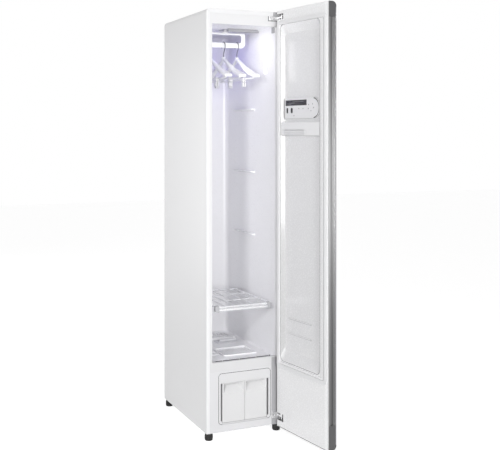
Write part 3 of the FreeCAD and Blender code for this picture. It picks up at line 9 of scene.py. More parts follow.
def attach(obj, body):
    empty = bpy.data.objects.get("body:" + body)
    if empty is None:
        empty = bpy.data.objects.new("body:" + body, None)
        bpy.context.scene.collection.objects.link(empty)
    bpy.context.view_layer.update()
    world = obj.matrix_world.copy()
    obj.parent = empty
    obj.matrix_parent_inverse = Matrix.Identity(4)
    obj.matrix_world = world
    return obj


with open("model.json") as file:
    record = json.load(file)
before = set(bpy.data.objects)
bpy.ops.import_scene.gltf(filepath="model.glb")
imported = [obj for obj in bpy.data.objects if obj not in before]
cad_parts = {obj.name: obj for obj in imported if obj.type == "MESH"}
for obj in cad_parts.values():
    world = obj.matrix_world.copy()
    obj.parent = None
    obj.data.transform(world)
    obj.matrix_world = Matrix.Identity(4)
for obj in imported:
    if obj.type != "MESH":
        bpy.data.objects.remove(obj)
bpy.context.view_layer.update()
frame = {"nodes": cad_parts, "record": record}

nodes = frame["nodes"]

# ---- sizes that the scene shares with the frame, in metres ----
OPEN_ANGLE = math.radians(98.0)
PIN = Vector((0.1675, -0.295, 0.0))
HALF_WIDTH = 0.180
FRONT_Y = -0.270
DOOR_INNER_Y = FRONT_Y - 0.008
CEILING_Z = 1.790

# ---- sizes that the scene shares with the frame, in millimetres ----
# the tank bay's and the door recess's left, right, lower and upper edges
BAY = (-124.0, 124.0, 64.0, 283.0)
RECESS = (26.0, 304.0, 326.0, 1788.0)
RECESS_FLOOR = -20.0
RIDGE_HEIGHTS = (449.0, 513.0)
PANEL_SUNK = 10.0
FLOOR_PLATE_TOP = 330.0


# ---- places on the part ----

def metres(x, y, z):
    """Point from its three places in millimetres."""
    return Vector((x / 1000, y / 1000, z / 1000))


def door_point(across, out, height):
    """Point of the open door: across from its hinge edge, out of its inner face, in millimetres."""
    flat = Vector((HALF_WIDTH - across / 1000, DOOR_INNER_Y + out / 1000, 0.0)) - PIN
    turned = Matrix.Rotation(OPEN_ANGLE, 3, "Z") @ flat
    return Vector((PIN.x + turned.x, PIN.y + turned.y, height / 1000))


def panel_point(across, out, height):
    """Point of the control panel on the open door: out of the panel's face, in millimetres."""
    return door_point(across, out - PANEL_SUNK, height)


def case_point(x, out, height):
    """Point of the case front: out of its face, in millimetres."""
    return Vector((x / 1000, FRONT_Y - out / 1000, height / 1000))


def ceiling_point(x, out, y):
    """Point of the garment space's ceiling: out of its face, in millimetres."""
    return Vector((x / 1000, y / 1000, CEILING_Z - out / 1000))


def floor_point(x, height, y):
    """Point above the floor plate of the garment space, in millimetres."""
    return metres(x, y, height)


DOOR_CORNER = door_point(0, 0, 0)
DOOR_ACROSS = door_point(1000, 0, 0) - DOOR_CORNER
DOOR_INWARD = door_point(0, -1000, 0) - DOOR_CORNER


# ---- helpers for node trees ----

def add_node(tree, kind, place=(0, 0), **values):
    """Adds a shader node and sets its plain properties and its unlinked inputs."""
    node = tree.nodes.new(kind)
    node.location = place
    for key, value in values.items():
        if hasattr(node, key):
            setattr(node, key, value)
        else:
            node.inputs[key.replace("_", " ")].default_value = value
    return node


def link(tree, source, output, target, entry):
    """Links a node's named output to another node's named input."""
    tree.links.new(source.outputs[output], target.inputs[entry])


def new_group(name, inputs, outputs):
    """Shader node group with named sockets; inputs and outputs are (name, type, default)."""
    group = bpy.data.node_groups.new(name, "ShaderNodeTree")
    for label, kind, default in inputs:
        socket = group.interface.new_socket(name=label, in_out="INPUT", socket_type=kind)
        if default is not None:
            socket.default_value = default
    for label, kind in outputs:
        group.interface.new_socket(name=label, in_out="OUTPUT", socket_type=kind)
    start = group.nodes.new("NodeGroupInput")
    start.location = (-900, 0)
    end = group.nodes.new("NodeGroupOutput")
    end.location = (900, 0)
    return group, start, end


def math_node(tree, operation, a=None, b=None, place=(0, 0)):
    """Math node whose operands are numbers or (node, output) pairs."""
    node = tree.nodes.new("ShaderNodeMath")
    node.operation = operation
    node.location = place
    for index, value in enumerate((a, b)):
        if isinstance(value, tuple):
            tree.links.new(value[0].outputs[value[1]], node.inputs[index])
        elif value is not None:
            node.inputs[index].default_value = value
    return node


def map_range(tree, source, low, high, to_low, to_high, place=(0, 0)):
    """Clamped map of a (node, output) pair from one range to another."""
    node = tree.nodes.new("ShaderNodeMapRange")
    node.location = place
    node.inputs["From Min"].default_value = low
    node.inputs["From Max"].default_value = high
    node.inputs["To Min"].default_value = to_low
    node.inputs["To Max"].default_value = to_high
    tree.links.new(source[0].outputs[source[1]], node.inputs["Value"])
    return node


def blend_colours(tree, factor, first, second, place=(0, 0)):
    """Colour mix; each argument is a value or a (node, output) pair. Returns the output socket."""
    node = tree.nodes.new("ShaderNodeMix")
    node.data_type = "RGBA"
    node.location = place
    sockets = (node.inputs[0], node.inputs[6], node.inputs[7])
    for socket, value in zip(sockets, (factor, first, second)):
        if isinstance(value, tuple) and hasattr(value[0], "outputs"):
            tree.links.new(value[0].outputs[value[1]], socket)
        elif hasattr(value, "is_linked"):
            tree.links.new(value, socket)
        else:
            socket.default_value = value
    return node.outputs[2]


# ---- shared effects ----

def edge_group():
    """Mask of outer edges, from a rounded normal and broken up by noise, and the rounded normal itself."""
    group, start, end = new_group("edge_mask", [
        ("Radius", "NodeSocketFloat", 0.0015), ("Breakup", "NodeSocketFloat", 0.4),
        ("Scale", "NodeSocketFloat", 60.0)],
        [("Mask", "NodeSocketFloat"), ("Normal", "NodeSocketVector")])
    flat_dot, edge_dot, noise_low, noise_high = 0.995, 0.80, 0.35, 0.65
    bevel = add_node(group, "ShaderNodeBevel", (-600, 100), samples=4)
    link(group, start, "Radius", bevel, "Radius")
    shape = add_node(group, "ShaderNodeNewGeometry", (-600, -150))
    dot = add_node(group, "ShaderNodeVectorMath", (-400, 50), operation="DOT_PRODUCT")
    group.links.new(bevel.outputs["Normal"], dot.inputs[0])
    group.links.new(shape.outputs["Normal"], dot.inputs[1])
    sharp = map_range(group, (dot, "Value"), flat_dot, edge_dot, 0.0, 1.0, (-200, 50))
    coords = add_node(group, "ShaderNodeTexCoord", (-600, -350))
    noise = add_node(group, "ShaderNodeTexNoise", (-400, -300), Detail=3.0)
    link(group, coords, "Object", noise, "Vector")
    link(group, start, "Scale", noise, "Scale")
    spread = map_range(group, (noise, "Fac"), noise_low, noise_high, 0.0, 1.0, (-200, -300))
    gap = math_node(group, "MULTIPLY", (spread, "Result"), (start, "Breakup"), (0, -200))
    keep = math_node(group, "SUBTRACT", 1.0, (gap, "Value"), (150, -200))
    mask = math_node(group, "MULTIPLY", (sharp, "Result"), (keep, "Value"), (350, 0))
    group.links.new(mask.outputs["Value"], end.inputs["Mask"])
    link(group, bevel, "Normal", end, "Normal")
    return group


def grain_group():
    """Fine surface texture: a bumped normal and a value that varies with it."""
    group, start, end = new_group("fine_grain", [
        ("Scale", "NodeSocketFloat", 900.0), ("Stretch", "NodeSocketVector", (1.0, 1.0, 1.0)),
        ("Depth", "NodeSocketFloat", 0.00002), ("Normal", "NodeSocketVector", None)],
        [("Normal", "NodeSocketVector"), ("Variation", "NodeSocketFloat")])
    coords = add_node(group, "ShaderNodeTexCoord", (-700, 0))
    stretch = add_node(group, "ShaderNodeVectorMath", (-500, 0), operation="MULTIPLY")
    group.links.new(coords.outputs["Object"], stretch.inputs[0])
    group.links.new(start.outputs["Stretch"], stretch.inputs[1])
    noise = add_node(group, "ShaderNodeTexNoise", (-250, 0), Detail=2.0, Roughness=0.5)
    group.links.new(stretch.outputs["Vector"], noise.inputs["Vector"])
    link(group, start, "Scale", noise, "Scale")
    bump = add_node(group, "ShaderNodeBump", (200, 0), Strength=1.0)
    link(group, noise, "Fac", bump, "Height")
    link(group, start, "Depth", bump, "Distance")
    link(group, start, "Normal", bump, "Normal")
    link(group, bump, "Normal", end, "Normal")
    link(group, noise, "Fac", end, "Variation")
    return group


def soil_group():
    """Slight soiling: soft cloud patches and a deposit that settles near a height."""
    group, start, end = new_group("soiling", [
        ("Colour", "NodeSocketColor", (0.8, 0.8, 0.8, 1.0)),
        ("Tint", "NodeSocketColor", (0.55, 0.52, 0.48, 1.0)),
        ("Amount", "NodeSocketFloat", 0.05), ("Floor height", "NodeSocketFloat", 0.0),
        ("Reach", "NodeSocketFloat", 0.25), ("Scale", "NodeSocketFloat", 7.0)],
        [("Colour", "NodeSocketColor"), ("Mask", "NodeSocketFloat")])
    coords = add_node(group, "ShaderNodeTexCoord", (-800, 0))
    noise = add_node(group, "ShaderNodeTexNoise", (-550, 100), Detail=5.0, Roughness=0.6)
    link(group, coords, "Object", noise, "Vector")
    link(group, start, "Scale", noise, "Scale")
    noise_low, noise_high, clean, high_up = 0.35, 0.75, 0.2, 0.25
    patch = map_range(group, (noise, "Fac"), noise_low, noise_high, clean, 1.0, (-300, 100))
    split = add_node(group, "ShaderNodeSeparateXYZ", (-550, -200))
    link(group, coords, "Object", split, "Vector")
    above = math_node(group, "SUBTRACT", (split, "Z"), (start, "Floor height"), (-350, -200))
    share = math_node(group, "DIVIDE", (above, "Value"), (start, "Reach"), (-200, -200))
    low = map_range(group, (share, "Value"), 0.0, 1.0, 1.0, high_up, (0, -200))
    both = math_node(group, "MULTIPLY", (patch, "Result"), (low, "Result"), (200, 0))
    mask = math_node(group, "MULTIPLY", (both, "Value"), (start, "Amount"), (400, 0))
    mixed = blend_colours(group, (mask, "Value"), (start, "Colour"), (start, "Tint"), (600, 100))
    group.links.new(mixed, end.inputs["Colour"])
    group.links.new(mask.outputs["Value"], end.inputs["Mask"])
    return group


def step_group():
    """Factor that rises evenly from a low to a high value between two heights."""
    group, start, end = new_group("height_step", [
        ("From", "NodeSocketFloat", 0.33), ("To", "NodeSocketFloat", 0.5),
        ("Low", "NodeSocketFloat", 0.88), ("High", "NodeSocketFloat", 1.0)],
        [("Factor", "NodeSocketFloat")])
    coords = add_node(group, "ShaderNodeTexCoord", (-600, 0))
    split = add_node(group, "ShaderNodeSeparateXYZ", (-400, 0))
    link(group, coords, "Object", split, "Vector")
    factor = add_node(group, "ShaderNodeMapRange", (0, 0))
    link(group, split, "Z", factor, "Value")
    for near, far in (("From", "From Min"), ("To", "From Max"), ("Low", "To Min"), ("High", "To Max")):
        link(group, start, near, factor, far)
    group.links.new(factor.outputs["Result"], end.inputs["Factor"])
    return group


def height_group():
    """Factor that peaks at one height and falls off evenly above and below it."""
    group, start, end = new_group("height_fall_off", [
        ("Middle", "NodeSocketFloat", 1.1), ("Spread", "NodeSocketFloat", 0.42),
        ("Low", "NodeSocketFloat", 0.4), ("High", "NodeSocketFloat", 1.15)], [("Factor", "NodeSocketFloat")])
    coords = add_node(group, "ShaderNodeTexCoord", (-900, -200))
    split = add_node(group, "ShaderNodeSeparateXYZ", (-700, -200))
    link(group, coords, "Object", split, "Vector")
    away = math_node(group, "SUBTRACT", (split, "Z"), (start, "Middle"), (-500, 0))
    share = math_node(group, "DIVIDE", (away, "Value"), (start, "Spread"), (-300, 0))
    square = math_node(group, "MULTIPLY", (share, "Value"), (share, "Value"), (-100, 0))
    minus = math_node(group, "MULTIPLY", (square, "Value"), -1.0, (100, 0))
    bell = math_node(group, "EXPONENT", (minus, "Value"), None, (250, 0))
    factor = map_range(group, (bell, "Value"), 0.0, 1.0, 0.0, 1.0, (450, 0))
    link(group, start, "Low", factor, "To Min")
    link(group, start, "High", factor, "To Max")
    group.links.new(factor.outputs["Result"], end.inputs["Factor"])
    return group


def band_group():
    """Factor that differs from 1 inside a band across a direction, with soft borders."""
    group, start, end = new_group("band", [
        ("Direction", "NodeSocketVector", (1.0, 0.0, 0.0)), ("From", "NodeSocketFloat", 0.0),
        ("To", "NodeSocketFloat", 0.1), ("Border", "NodeSocketFloat", 0.001),
        ("Inside", "NodeSocketFloat", 0.8)], [("Factor", "NodeSocketFloat")])
    coords = add_node(group, "ShaderNodeTexCoord", (-900, 0))
    place = add_node(group, "ShaderNodeVectorMath", (-700, 0), operation="DOT_PRODUCT")
    group.links.new(coords.outputs["Object"], place.inputs[0])
    group.links.new(start.outputs["Direction"], place.inputs[1])
    past = math_node(group, "SUBTRACT", (place, "Value"), (start, "From"), (-500, 100))
    left = math_node(group, "SUBTRACT", (start, "To"), (place, "Value"), (-500, -100))
    near = math_node(group, "MINIMUM", (past, "Value"), (left, "Value"), (-300, 0))
    share = math_node(group, "DIVIDE", (near, "Value"), (start, "Border"), (-100, 0))
    mask = map_range(group, (share, "Value"), 0.0, 1.0, 0.0, 1.0, (100, 0))
    factor = map_range(group, (mask, "Result"), 0.0, 1.0, 1.0, 1.0, (300, 0))
    link(group, start, "Inside", factor, "To Max")
    group.links.new(factor.outputs["Result"], end.inputs["Factor"])
    return group


def facing_group():
    """Factor that differs from 1 on faces that look along a direction of the part at rest."""
    group, start, end = new_group("facing", [
        ("Direction", "NodeSocketVector", (0.0, -1.0, 0.0)), ("Inside", "NodeSocketFloat", 0.8)],
        [("Factor", "NodeSocketFloat")])
    coords = add_node(group, "ShaderNodeTexCoord", (-600, 0))
    along = add_node(group, "ShaderNodeVectorMath", (-400, 0), operation="DOT_PRODUCT")
    group.links.new(coords.outputs["Normal"], along.inputs[0])
    group.links.new(start.outputs["Direction"], along.inputs[1])
    aside, straight = 0.6, 0.9
    factor = map_range(group, (along, "Value"), aside, straight, 1.0, 1.0, (0, 0))
    link(group, start, "Inside", factor, "To Max")
    group.links.new(factor.outputs["Result"], end.inputs["Factor"])
    return group


EDGE = edge_group()
BAND = band_group()
FACING = facing_group()
HEIGHT = height_group()
STEP = step_group()
GRAIN = grain_group()
SOIL = soil_group()


# ---- materials ----

# the range that most of a noise's values lie in
MID_NOISE = (0.3, 0.7)


def use_group(tree, group, place=(0, 0), **values):
    """Places a shared effect in a material with its own input values."""
    node = tree.nodes.new("ShaderNodeGroup")
    node.node_tree = group
    node.location = place
    for key, value in values.items():
        node.inputs[key.replace("_", " ")].default_value = value
    return node


def rgba(colour):
    """Colour with full opacity."""
    return (colour[0], colour[1], colour[2], 1.0)


def surface(name, colour, roughness, metallic=0.0, grain=900.0, stretch=(1, 1, 1), depth=0.00002,
            edge=0.3, edge_colour=(1, 1, 1), edge_radius=0.0012, soil=0.05, soil_height=0.0,
            soil_reach=0.3, variation=0.04, rough_spread=0.08, coat=0.0, coat_roughness=0.1,
            specular=0.5, sheen=0.0):
    """Finish with a grained normal, uneven gloss, slight soiling and lighter or darker edges; the edge tone
    is partly wear and partly painted edge highlights and painted shade outlines.
    """
    material = bpy.data.materials.new(name)
    material.use_nodes = True
    tree = material.node_tree
    shader = tree.nodes["Principled BSDF"]
    shader.location = (900, 0)
    edges = use_group(tree, EDGE, (-600, -300), Radius=edge_radius)
    texture = use_group(tree, GRAIN, (-300, -200), Scale=grain, Stretch=stretch, Depth=depth)
    link(tree, edges, "Normal", texture, "Normal")
    link(tree, texture, "Normal", shader, "Normal")
    darker = tuple(channel * (1 - variation) for channel in colour)
    lighter = tuple(min(1.0, channel * (1 + variation)) for channel in colour)
    toned = blend_colours(tree, (texture, "Variation"), rgba(darker), rgba(lighter), (-50, 200))
    dirt = use_group(tree, SOIL, (200, 200), Amount=soil, Floor_height=soil_height,
                     Reach=soil_reach)
    tree.links.new(toned, dirt.inputs["Colour"])
    # edge tone: wear on some finishes, painted highlights and painted shade outlines on others
    edge_wear_and_painted_light = math_node(tree, "MULTIPLY", (edges, "Mask"), edge, (200, -50))
    with_edge_tone = blend_colours(tree, (edge_wear_and_painted_light, "Value"), (dirt, "Colour"), rgba(edge_colour), (500, 150))
    tree.links.new(with_edge_tone, shader.inputs["Base Color"])
    gloss = map_range(tree, (texture, "Variation"), *MID_NOISE, roughness - rough_spread / 2,
                      roughness + rough_spread / 2, (300, -300))
    dulling = 0.5
    cloudy = math_node(tree, "MULTIPLY_ADD", (dirt, "Mask"), dulling, (550, -250))
    tree.links.new(gloss.outputs["Result"], cloudy.inputs[2])
    link(tree, cloudy, "Value", shader, "Roughness")
    shader.inputs["Metallic"].default_value = metallic
    shader.inputs["Coat Weight"].default_value = coat
    shader.inputs["Coat Roughness"].default_value = coat_roughness
    shader.inputs["Specular IOR Level"].default_value = specular
    shader.inputs["Sheen Weight"].default_value = sheen
    return material


def glowing(name, colour, strength):
    """Frosted lens lit from behind, its light slightly uneven."""
    material = surface(name, colour, roughness=0.45, grain=400.0, depth=0.00003, edge=0.0)
    tree = material.node_tree
    shader = tree.nodes["Principled BSDF"]
    coords = add_node(tree, "ShaderNodeTexCoord", (0, -600))
    cells = add_node(tree, "ShaderNodeTexNoise", (200, -600), Scale=160.0, Detail=1.0)
    link(tree, coords, "Object", cells, "Vector")
    weakest = strength * 0.8
    spots = map_range(tree, (cells, "Fac"), *MID_NOISE, weakest, strength, (450, -600))
    link(tree, spots, "Result", shader, "Emission Strength")
    shader.inputs["Emission Color"].default_value = rgba(colour)
    return material


POWDER_COAT = dict(grain=1400.0, depth=0.000012, edge=0.25, soil=0.04, coat=0.25,
                   coat_roughness=0.2)
FRONT_MOULDING = dict(grain=1400.0, depth=0.000012, soil=0.05, soil_height=0.05, coat=0.2,
                      coat_roughness=0.2)
GLOSSY_MOULDING = dict(grain=220.0, depth=0.000004, edge=0.12, soil=0.03, soil_height=0.05,
                       variation=0.012, coat=0.5)
SMOOTH_MOULDING = dict(grain=500.0, depth=0.00001, variation=0.012, coat=0.3)
PLAIN_MOULDING = dict(grain=1100.0, depth=0.00003)
FINE_MOULDING = dict(grain=1200.0, depth=0.00003)
HOLDER_MOULDING = dict(grain=1300.0, depth=0.00003)

# finish: colour, roughness, further values of surface()
FINISHES = {
    "case_white": ((0.785, 0.785, 0.795), 0.38, POWDER_COAT),
    # painted shade: the frame, cover and bay whites are darker copies of the case white
    "frame_shaded_white": ((0.74, 0.74, 0.75), 0.38, POWDER_COAT),
    "cover_shaded_white": ((0.675, 0.675, 0.69), 0.4, dict(FRONT_MOULDING, edge=0.25)),
    "bay_shaded_white": ((0.665, 0.665, 0.675), 0.4, FRONT_MOULDING),
    "liner_white": ((0.93, 0.928, 0.95), 0.30, dict(
        grain=260.0, depth=0.00002, edge=0.0, soil=0.03, soil_height=0.33, variation=0.015,
        coat=0.35, coat_roughness=0.15)),
    "door_white": ((0.94, 0.94, 0.945), 0.26, GLOSSY_MOULDING),
    # painted shade: the tray white is a darker copy of the door white, for the door's recess
    "tray_shaded_white": ((0.775, 0.775, 0.782), 0.26, GLOSSY_MOULDING),
    "hanger_white": ((0.93, 0.93, 0.945), 0.34, dict(SMOOTH_MOULDING, edge=0.1)),
    # dark edges of the clips and the hoop are painted shade outlines
    "clip_white": ((0.88, 0.88, 0.90), 0.34, dict(
        SMOOTH_MOULDING, edge=0.8, edge_colour=(0.22, 0.22, 0.24), edge_radius=0.0022)),
    "hoop_white": ((0.92, 0.92, 0.935), 0.34, dict(
        SMOOTH_MOULDING, edge=0.45, edge_colour=(0.35, 0.35, 0.38), edge_radius=0.0016)),
    "tank_clear": ((0.66, 0.66, 0.665), 0.36, dict(
        grain=300.0, depth=0.000006, edge=0.2, soil=0.03, coat=0.2)),
    "tank_lid_grey": ((0.50, 0.50, 0.52), 0.45, PLAIN_MOULDING),
    "filter_grey": ((0.74, 0.74, 0.77), 0.42, PLAIN_MOULDING),
    "cap_grey": ((0.075, 0.075, 0.078), 0.4, dict(
        PLAIN_MOULDING, edge=0.25, edge_colour=(0.25, 0.25, 0.25))),
    "cap_dark": ((0.46, 0.46, 0.48), 0.36, dict(FINE_MOULDING, edge_colour=(0.7, 0.7, 0.7))),
    "post_grey": ((0.40, 0.40, 0.415), 0.5, dict(
        FINE_MOULDING, edge=0.35, edge_colour=(0.62, 0.62, 0.63))),
    "holder_grey": ((0.80, 0.80, 0.81), 0.42, HOLDER_MOULDING),
    "clamp_grey": ((0.70, 0.70, 0.71), 0.42, HOLDER_MOULDING),
    "black_plastic": ((0.012, 0.012, 0.013), 0.5, dict(
        grain=1100.0, depth=0.00004, edge_colour=(0.08, 0.08, 0.08), soil=0.06, soil_reach=0.06,
        specular=0.25)),
    "gasket_grey": ((0.775, 0.775, 0.785), 0.5, dict(
        grain=1400.0, depth=0.00005, edge=0.1, soil=0.06, sheen=0.15)),
    "panel_silver": ((0.80, 0.80, 0.81), 0.34, dict(
        metallic=0.1, grain=1500.0, depth=0.00001, variation=0.05)),
    "button_silver": ((0.035, 0.035, 0.038), 0.3, dict(
        metallic=0.2, grain=1500.0, depth=0.00001, edge_colour=(0.3, 0.3, 0.3))),
    "display_dark": ((0.012, 0.012, 0.014), 0.08, dict(
        grain=20.0, depth=0.000005, edge=0.1, variation=0.1, coat=1.0, coat_roughness=0.03)),
    "door_mirror": ((0.30, 0.30, 0.315), 0.05, dict(
        metallic=1.0, grain=6.0, depth=0.00001, edge=0.2, edge_colour=(0.5, 0.55, 0.55),
        variation=0.01, rough_spread=0.02, soil=0.02)),
    "trim_metal": ((0.34, 0.34, 0.345), 0.34, dict(
        metallic=0.7, grain=260.0, stretch=(1, 1, 0.02), depth=0.00002, edge=0.1,
        edge_colour=(0.5, 0.5, 0.5), variation=0.15, rough_spread=0.12)),
    # dark edges of the hinge plates are painted shade outlines
    "hinge_metal": ((0.84, 0.84, 0.85), 0.30, dict(
        metallic=0.6, grain=140.0, stretch=(1, 1, 8), depth=0.00001, edge=0.9,
        edge_colour=(0.10, 0.10, 0.11), edge_radius=0.003)),
    "hook_steel": ((0.22, 0.22, 0.24), 0.32, dict(
        metallic=1.0, grain=300.0, depth=0.00001, edge=0.2, variation=0.1)),
    "shelf_metal": ((0.82, 0.82, 0.84), 0.30, dict(
        metallic=0.55, grain=500.0, depth=0.00001, edge=0.0, variation=0.05)),
    "galvanised": ((0.60, 0.61, 0.62), 0.42, dict(
        metallic=0.9, grain=45.0, depth=0.00001, variation=0.12, rough_spread=0.2,
        edge_colour=(0.8, 0.8, 0.8), soil=0.10)),
    "fin_aluminium": ((0.72, 0.73, 0.75), 0.3, dict(
        metallic=1.0, grain=500.0, stretch=(1, 6, 1), depth=0.00002, variation=0.08)),
    "boiler": ((0.52, 0.52, 0.53), 0.5, dict(
        metallic=0.9, grain=350.0, depth=0.00012, variation=0.08)),
    "compressor_black": ((0.02, 0.02, 0.022), 0.3, dict(
        metallic=0.2, grain=600.0, depth=0.00003, edge=0.4, edge_colour=(0.2, 0.2, 0.2), coat=0.4)),
    "circuit_board": ((0.03, 0.20, 0.08), 0.42, dict(grain=160.0, depth=0.00002, variation=0.3)),
    "foam": ((0.72, 0.65, 0.42), 0.9, dict(grain=500.0, depth=0.0004, variation=0.1)),
    # dark and grey strips: real seams, marks and slots, and strips of painted shade and shadow
    "seam_and_shade_dark": ((0.05, 0.05, 0.055), 0.6, dict(edge=0.1, edge_colour=(0.15, 0.15, 0.15))),
    "mark_and_shade_grey": ((0.16, 0.16, 0.17), 0.45, dict(edge=0.1, edge_colour=(0.3, 0.3, 0.3))),
    "slot_and_shade_grey": ((0.36, 0.36, 0.38), 0.5, dict(grain=1100.0, edge=0.2, edge_colour=(0.5, 0.5, 0.5))),
}

MATERIALS = {name: surface(name, colour, roughness, **details)
             for name, (colour, roughness, details) in FINISHES.items()}
MATERIALS["lens"] = glowing("lens", (0.97, 0.97, 0.97), 0.9)

# nodes whose finish is not that of their material slot
OWN_FINISHES = {
    "front_frame": "frame_shaded_white", "lower_front_cover": "cover_shaded_white", "tank_bay": "bay_shaded_white",
    "door_liner": "tray_shaded_white", "hanger_hoop": "hoop_white", "clips_left": "clip_white",
    "clips_middle": "clip_white", "clips_right": "clip_white",
}


def dress_nodes():
    """Gives every node of the frame its own finish, or else the finish of its material slot."""
    slots = {entry["node"]: entry["material_slot"] for entry in frame["record"]["subparts"]}
    for name, obj in nodes.items():
        obj.data.materials.clear()
        obj.data.materials.append(MATERIALS[OWN_FINISHES.get(name, slots[name])])


def paint_shading(finish, group, **values):
    """Multiplies a finish's colour by the factor that the group puts out, painting light and shade into it.
    """
    tree = MATERIALS[finish].node_tree
    entry = tree.nodes["Principled BSDF"].inputs["Base Color"]
    source = entry.links[0].from_socket
    factor = use_group(tree, group, (400, 450), **values)
    scaled = add_node(tree, "ShaderNodeVectorMath", (700, 350), operation="SCALE")
    tree.links.new(source, scaled.inputs[0])
    link(tree, factor, "Factor", scaled, "Scale")
    tree.links.new(scaled.outputs["Vector"], entry)


def paint_door_band_shading(finish, axis, start, stop, border, inside):
    """Paints a band of lighter or darker tone, as painted light and shade, on the open door; start, stop and
    border are in millimetres along the axis.
    """
    base = DOOR_CORNER.dot(axis)
    paint_shading(finish, BAND, Direction=axis, From=base + start / 1000, To=base + stop / 1000,
         Border=border / 1000, Inside=inside)


# start, stop and factor of the bands of painted highlight and painted shade that run up the door's side
# trims
TRIM_BORDER = 0.6
TRIM_BANDS = ((2.0, 11.0, 1.35), (11.0, 20.0, 0.92), (20.0, 26.0, 0.68), (26.0, 40.0, 1.3))
# axis, start, stop, border and factor of the bands of painted light and painted shade on the door's inner
# panel
TRAY_BANDS = ((DOOR_ACROSS, 336.0, 355.0, 1.0, 1.07), (DOOR_ACROSS, 356.0, 363.0, 1.0, 0.84),
              (DOOR_INWARD, -7.0, 1.2, 0.5, 1.10))
# direction and factor of the tanks' faces: the right and the left faces, and the slopes of the grips;
# painted shade on the right faces, painted light on the left faces and on the slopes
TANK_FACES = (((1.0, 0.0, 0.0), 0.62), ((-1.0, 0.0, 0.0), 1.12), ((0.0, -0.66, 0.75), 1.08))


def paint_light_and_shade():
    """Painted light and shade: slight changes of tone along heights, bands and faces."""
    up_and_back = (0.0, 0.6, 0.8)
    # painted shade: the front frame darker towards its lower end
    paint_shading("frame_shaded_white", STEP)
    # painted shade high up at the back of the garment space
    paint_shading("liner_white", BAND, Direction=up_and_back, From=1.36, To=2.2, Border=0.12, Inside=0.79)
    # painted light and shade on the tanks, by the way their faces look
    for direction, inside in TANK_FACES:
        paint_shading("tank_clear", FACING, Direction=direction, Inside=inside)
    # painted reflection: the trims lightest at one height, darker above and below
    paint_shading("trim_metal", HEIGHT)
    # painted highlights and painted shade in bands up the trims
    for start, stop, inside in TRIM_BANDS:
        paint_door_band_shading("trim_metal", DOOR_INWARD, start, stop, TRIM_BORDER, inside)
    # painted light and shade in bands of the door's inner panel
    for axis, start, stop, border, inside in TRAY_BANDS:
        paint_door_band_shading("tray_shaded_white", axis, start, stop, border, inside)
    # painted shade on the recess walls that look across the door
    paint_shading("tray_shaded_white", FACING, Direction=DOOR_ACROSS, Inside=0.64)


dress_nodes()
paint_light_and_shade()


# ---- small pieces that the frame leaves to the scene ----

MERGE_DISTANCE = 1e-6


def new_piece(name, verts, faces, finish, body, smooth=False):
    """Mesh piece with a finish of MATERIALS that rides on a body."""
    mesh = bpy.data.meshes.new(name)
    mesh.from_pydata([tuple(vert) for vert in verts], [], faces)
    made = bmesh.new()
    made.from_mesh(mesh)
    bmesh.ops.remove_doubles(made, verts=made.verts, dist=MERGE_DISTANCE)
    bmesh.ops.recalc_face_normals(made, faces=made.faces)
    made.to_mesh(mesh)
    made.free()
    for face in mesh.polygons:
        face.use_smooth = smooth
    obj = bpy.data.objects.new(name, mesh)
    bpy.context.scene.collection.objects.link(obj)
    obj.data.materials.append(MATERIALS[finish])
    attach(obj, body)


def outline(low_a, high_a, low_b, high_b, radius, steps=6):
    """Corner points of a rounded rectangle, in order."""
    points = []
    corners = ((high_a, high_b, 0), (low_a, high_b, 90), (low_a, low_b, 180), (high_a, low_b, 270))
    for a, b, start in corners:
        middle_a = a - radius if a == high_a else a + radius
        middle_b = b - radius if b == high_b else b + radius
        for step in range(steps + 1):
            angle = math.radians(start + 90 * step / steps)
            points.append((middle_a + radius * math.cos(angle), middle_b + radius * math.sin(angle)))
    return points


def pads(place, outlines, low, high, crown):
    """Raised pads with a bevelled top, from low to high, on outlines set by place(a, out, b)."""
    verts, faces = [], []
    for points in outlines:
        middle_a = sum(point[0] for point in points) / len(points)
        middle_b = sum(point[1] for point in points) / len(points)
        start = len(verts)
        count = len(points)
        for level, inset in ((low, 0.0), (high - crown, 0.0), (high, crown)):
            for a, b in points:
                pull = inset / (math.hypot(a - middle_a, b - middle_b) or 1.0)
                verts.append(place(a + (middle_a - a) * pull, level, b + (middle_b - b) * pull))
        for here in (start, start + count):
            there = here + count
            for step in range(count):
                after = (step + 1) % count
                faces.append((here + step, here + after, there + after, there + step))
        faces.append(tuple(start + step for step in range(count)))
        faces.append(tuple(start + 2 * count + step for step in range(count)))
    return verts, faces


def strip(place, inner, outer, low, high, closed=False):
    """Flat strip between an inner and an outer line of place(a, out, b), from low to high."""
    verts, faces = [], []
    count = len(inner)
    for near, far in zip(inner, outer):
        verts += [place(near[0], low, near[1]), place(near[0], high, near[1]),
                  place(far[0], high, far[1]), place(far[0], low, far[1])]
    last = count if closed else count - 1
    for step in range(last):
        here, there = 4 * step, 4 * ((step + 1) % count)
        for side in range(4):
            after = (side + 1) % 4
            faces.append((here + side, here + after, there + after, there + side))
    if not closed:
        faces.append((0, 1, 2, 3))
        faces.append(tuple(4 * (count - 1) + side for side in (3, 2, 1, 0)))
    return verts, faces


def bay_seal():
    """Dark strip of painted shade in the groove round the tank bay, open along the lower side."""
    left, right, bottom, top = BAY
    half_width, shift, inner_radius, outer_radius = 1, 0.15, 14, 16
    inner = outline(left + half_width + shift, right - half_width - shift,
                    bottom + half_width + shift, top - half_width - shift, inner_radius)
    outer = outline(left - half_width + shift, right + half_width - shift,
                    bottom - half_width + shift, top + half_width - shift, outer_radius)
    lower_right = 3 * len(inner) // 4
    inner, outer = (line[lower_right:] + line[:lower_right] for line in (inner, outer))
    verts, faces = strip(case_point, inner, outer, low=-2.6, high=-0.3)
    new_piece("bay_seal", verts, faces, "seam_and_shade_dark", "cabinet")


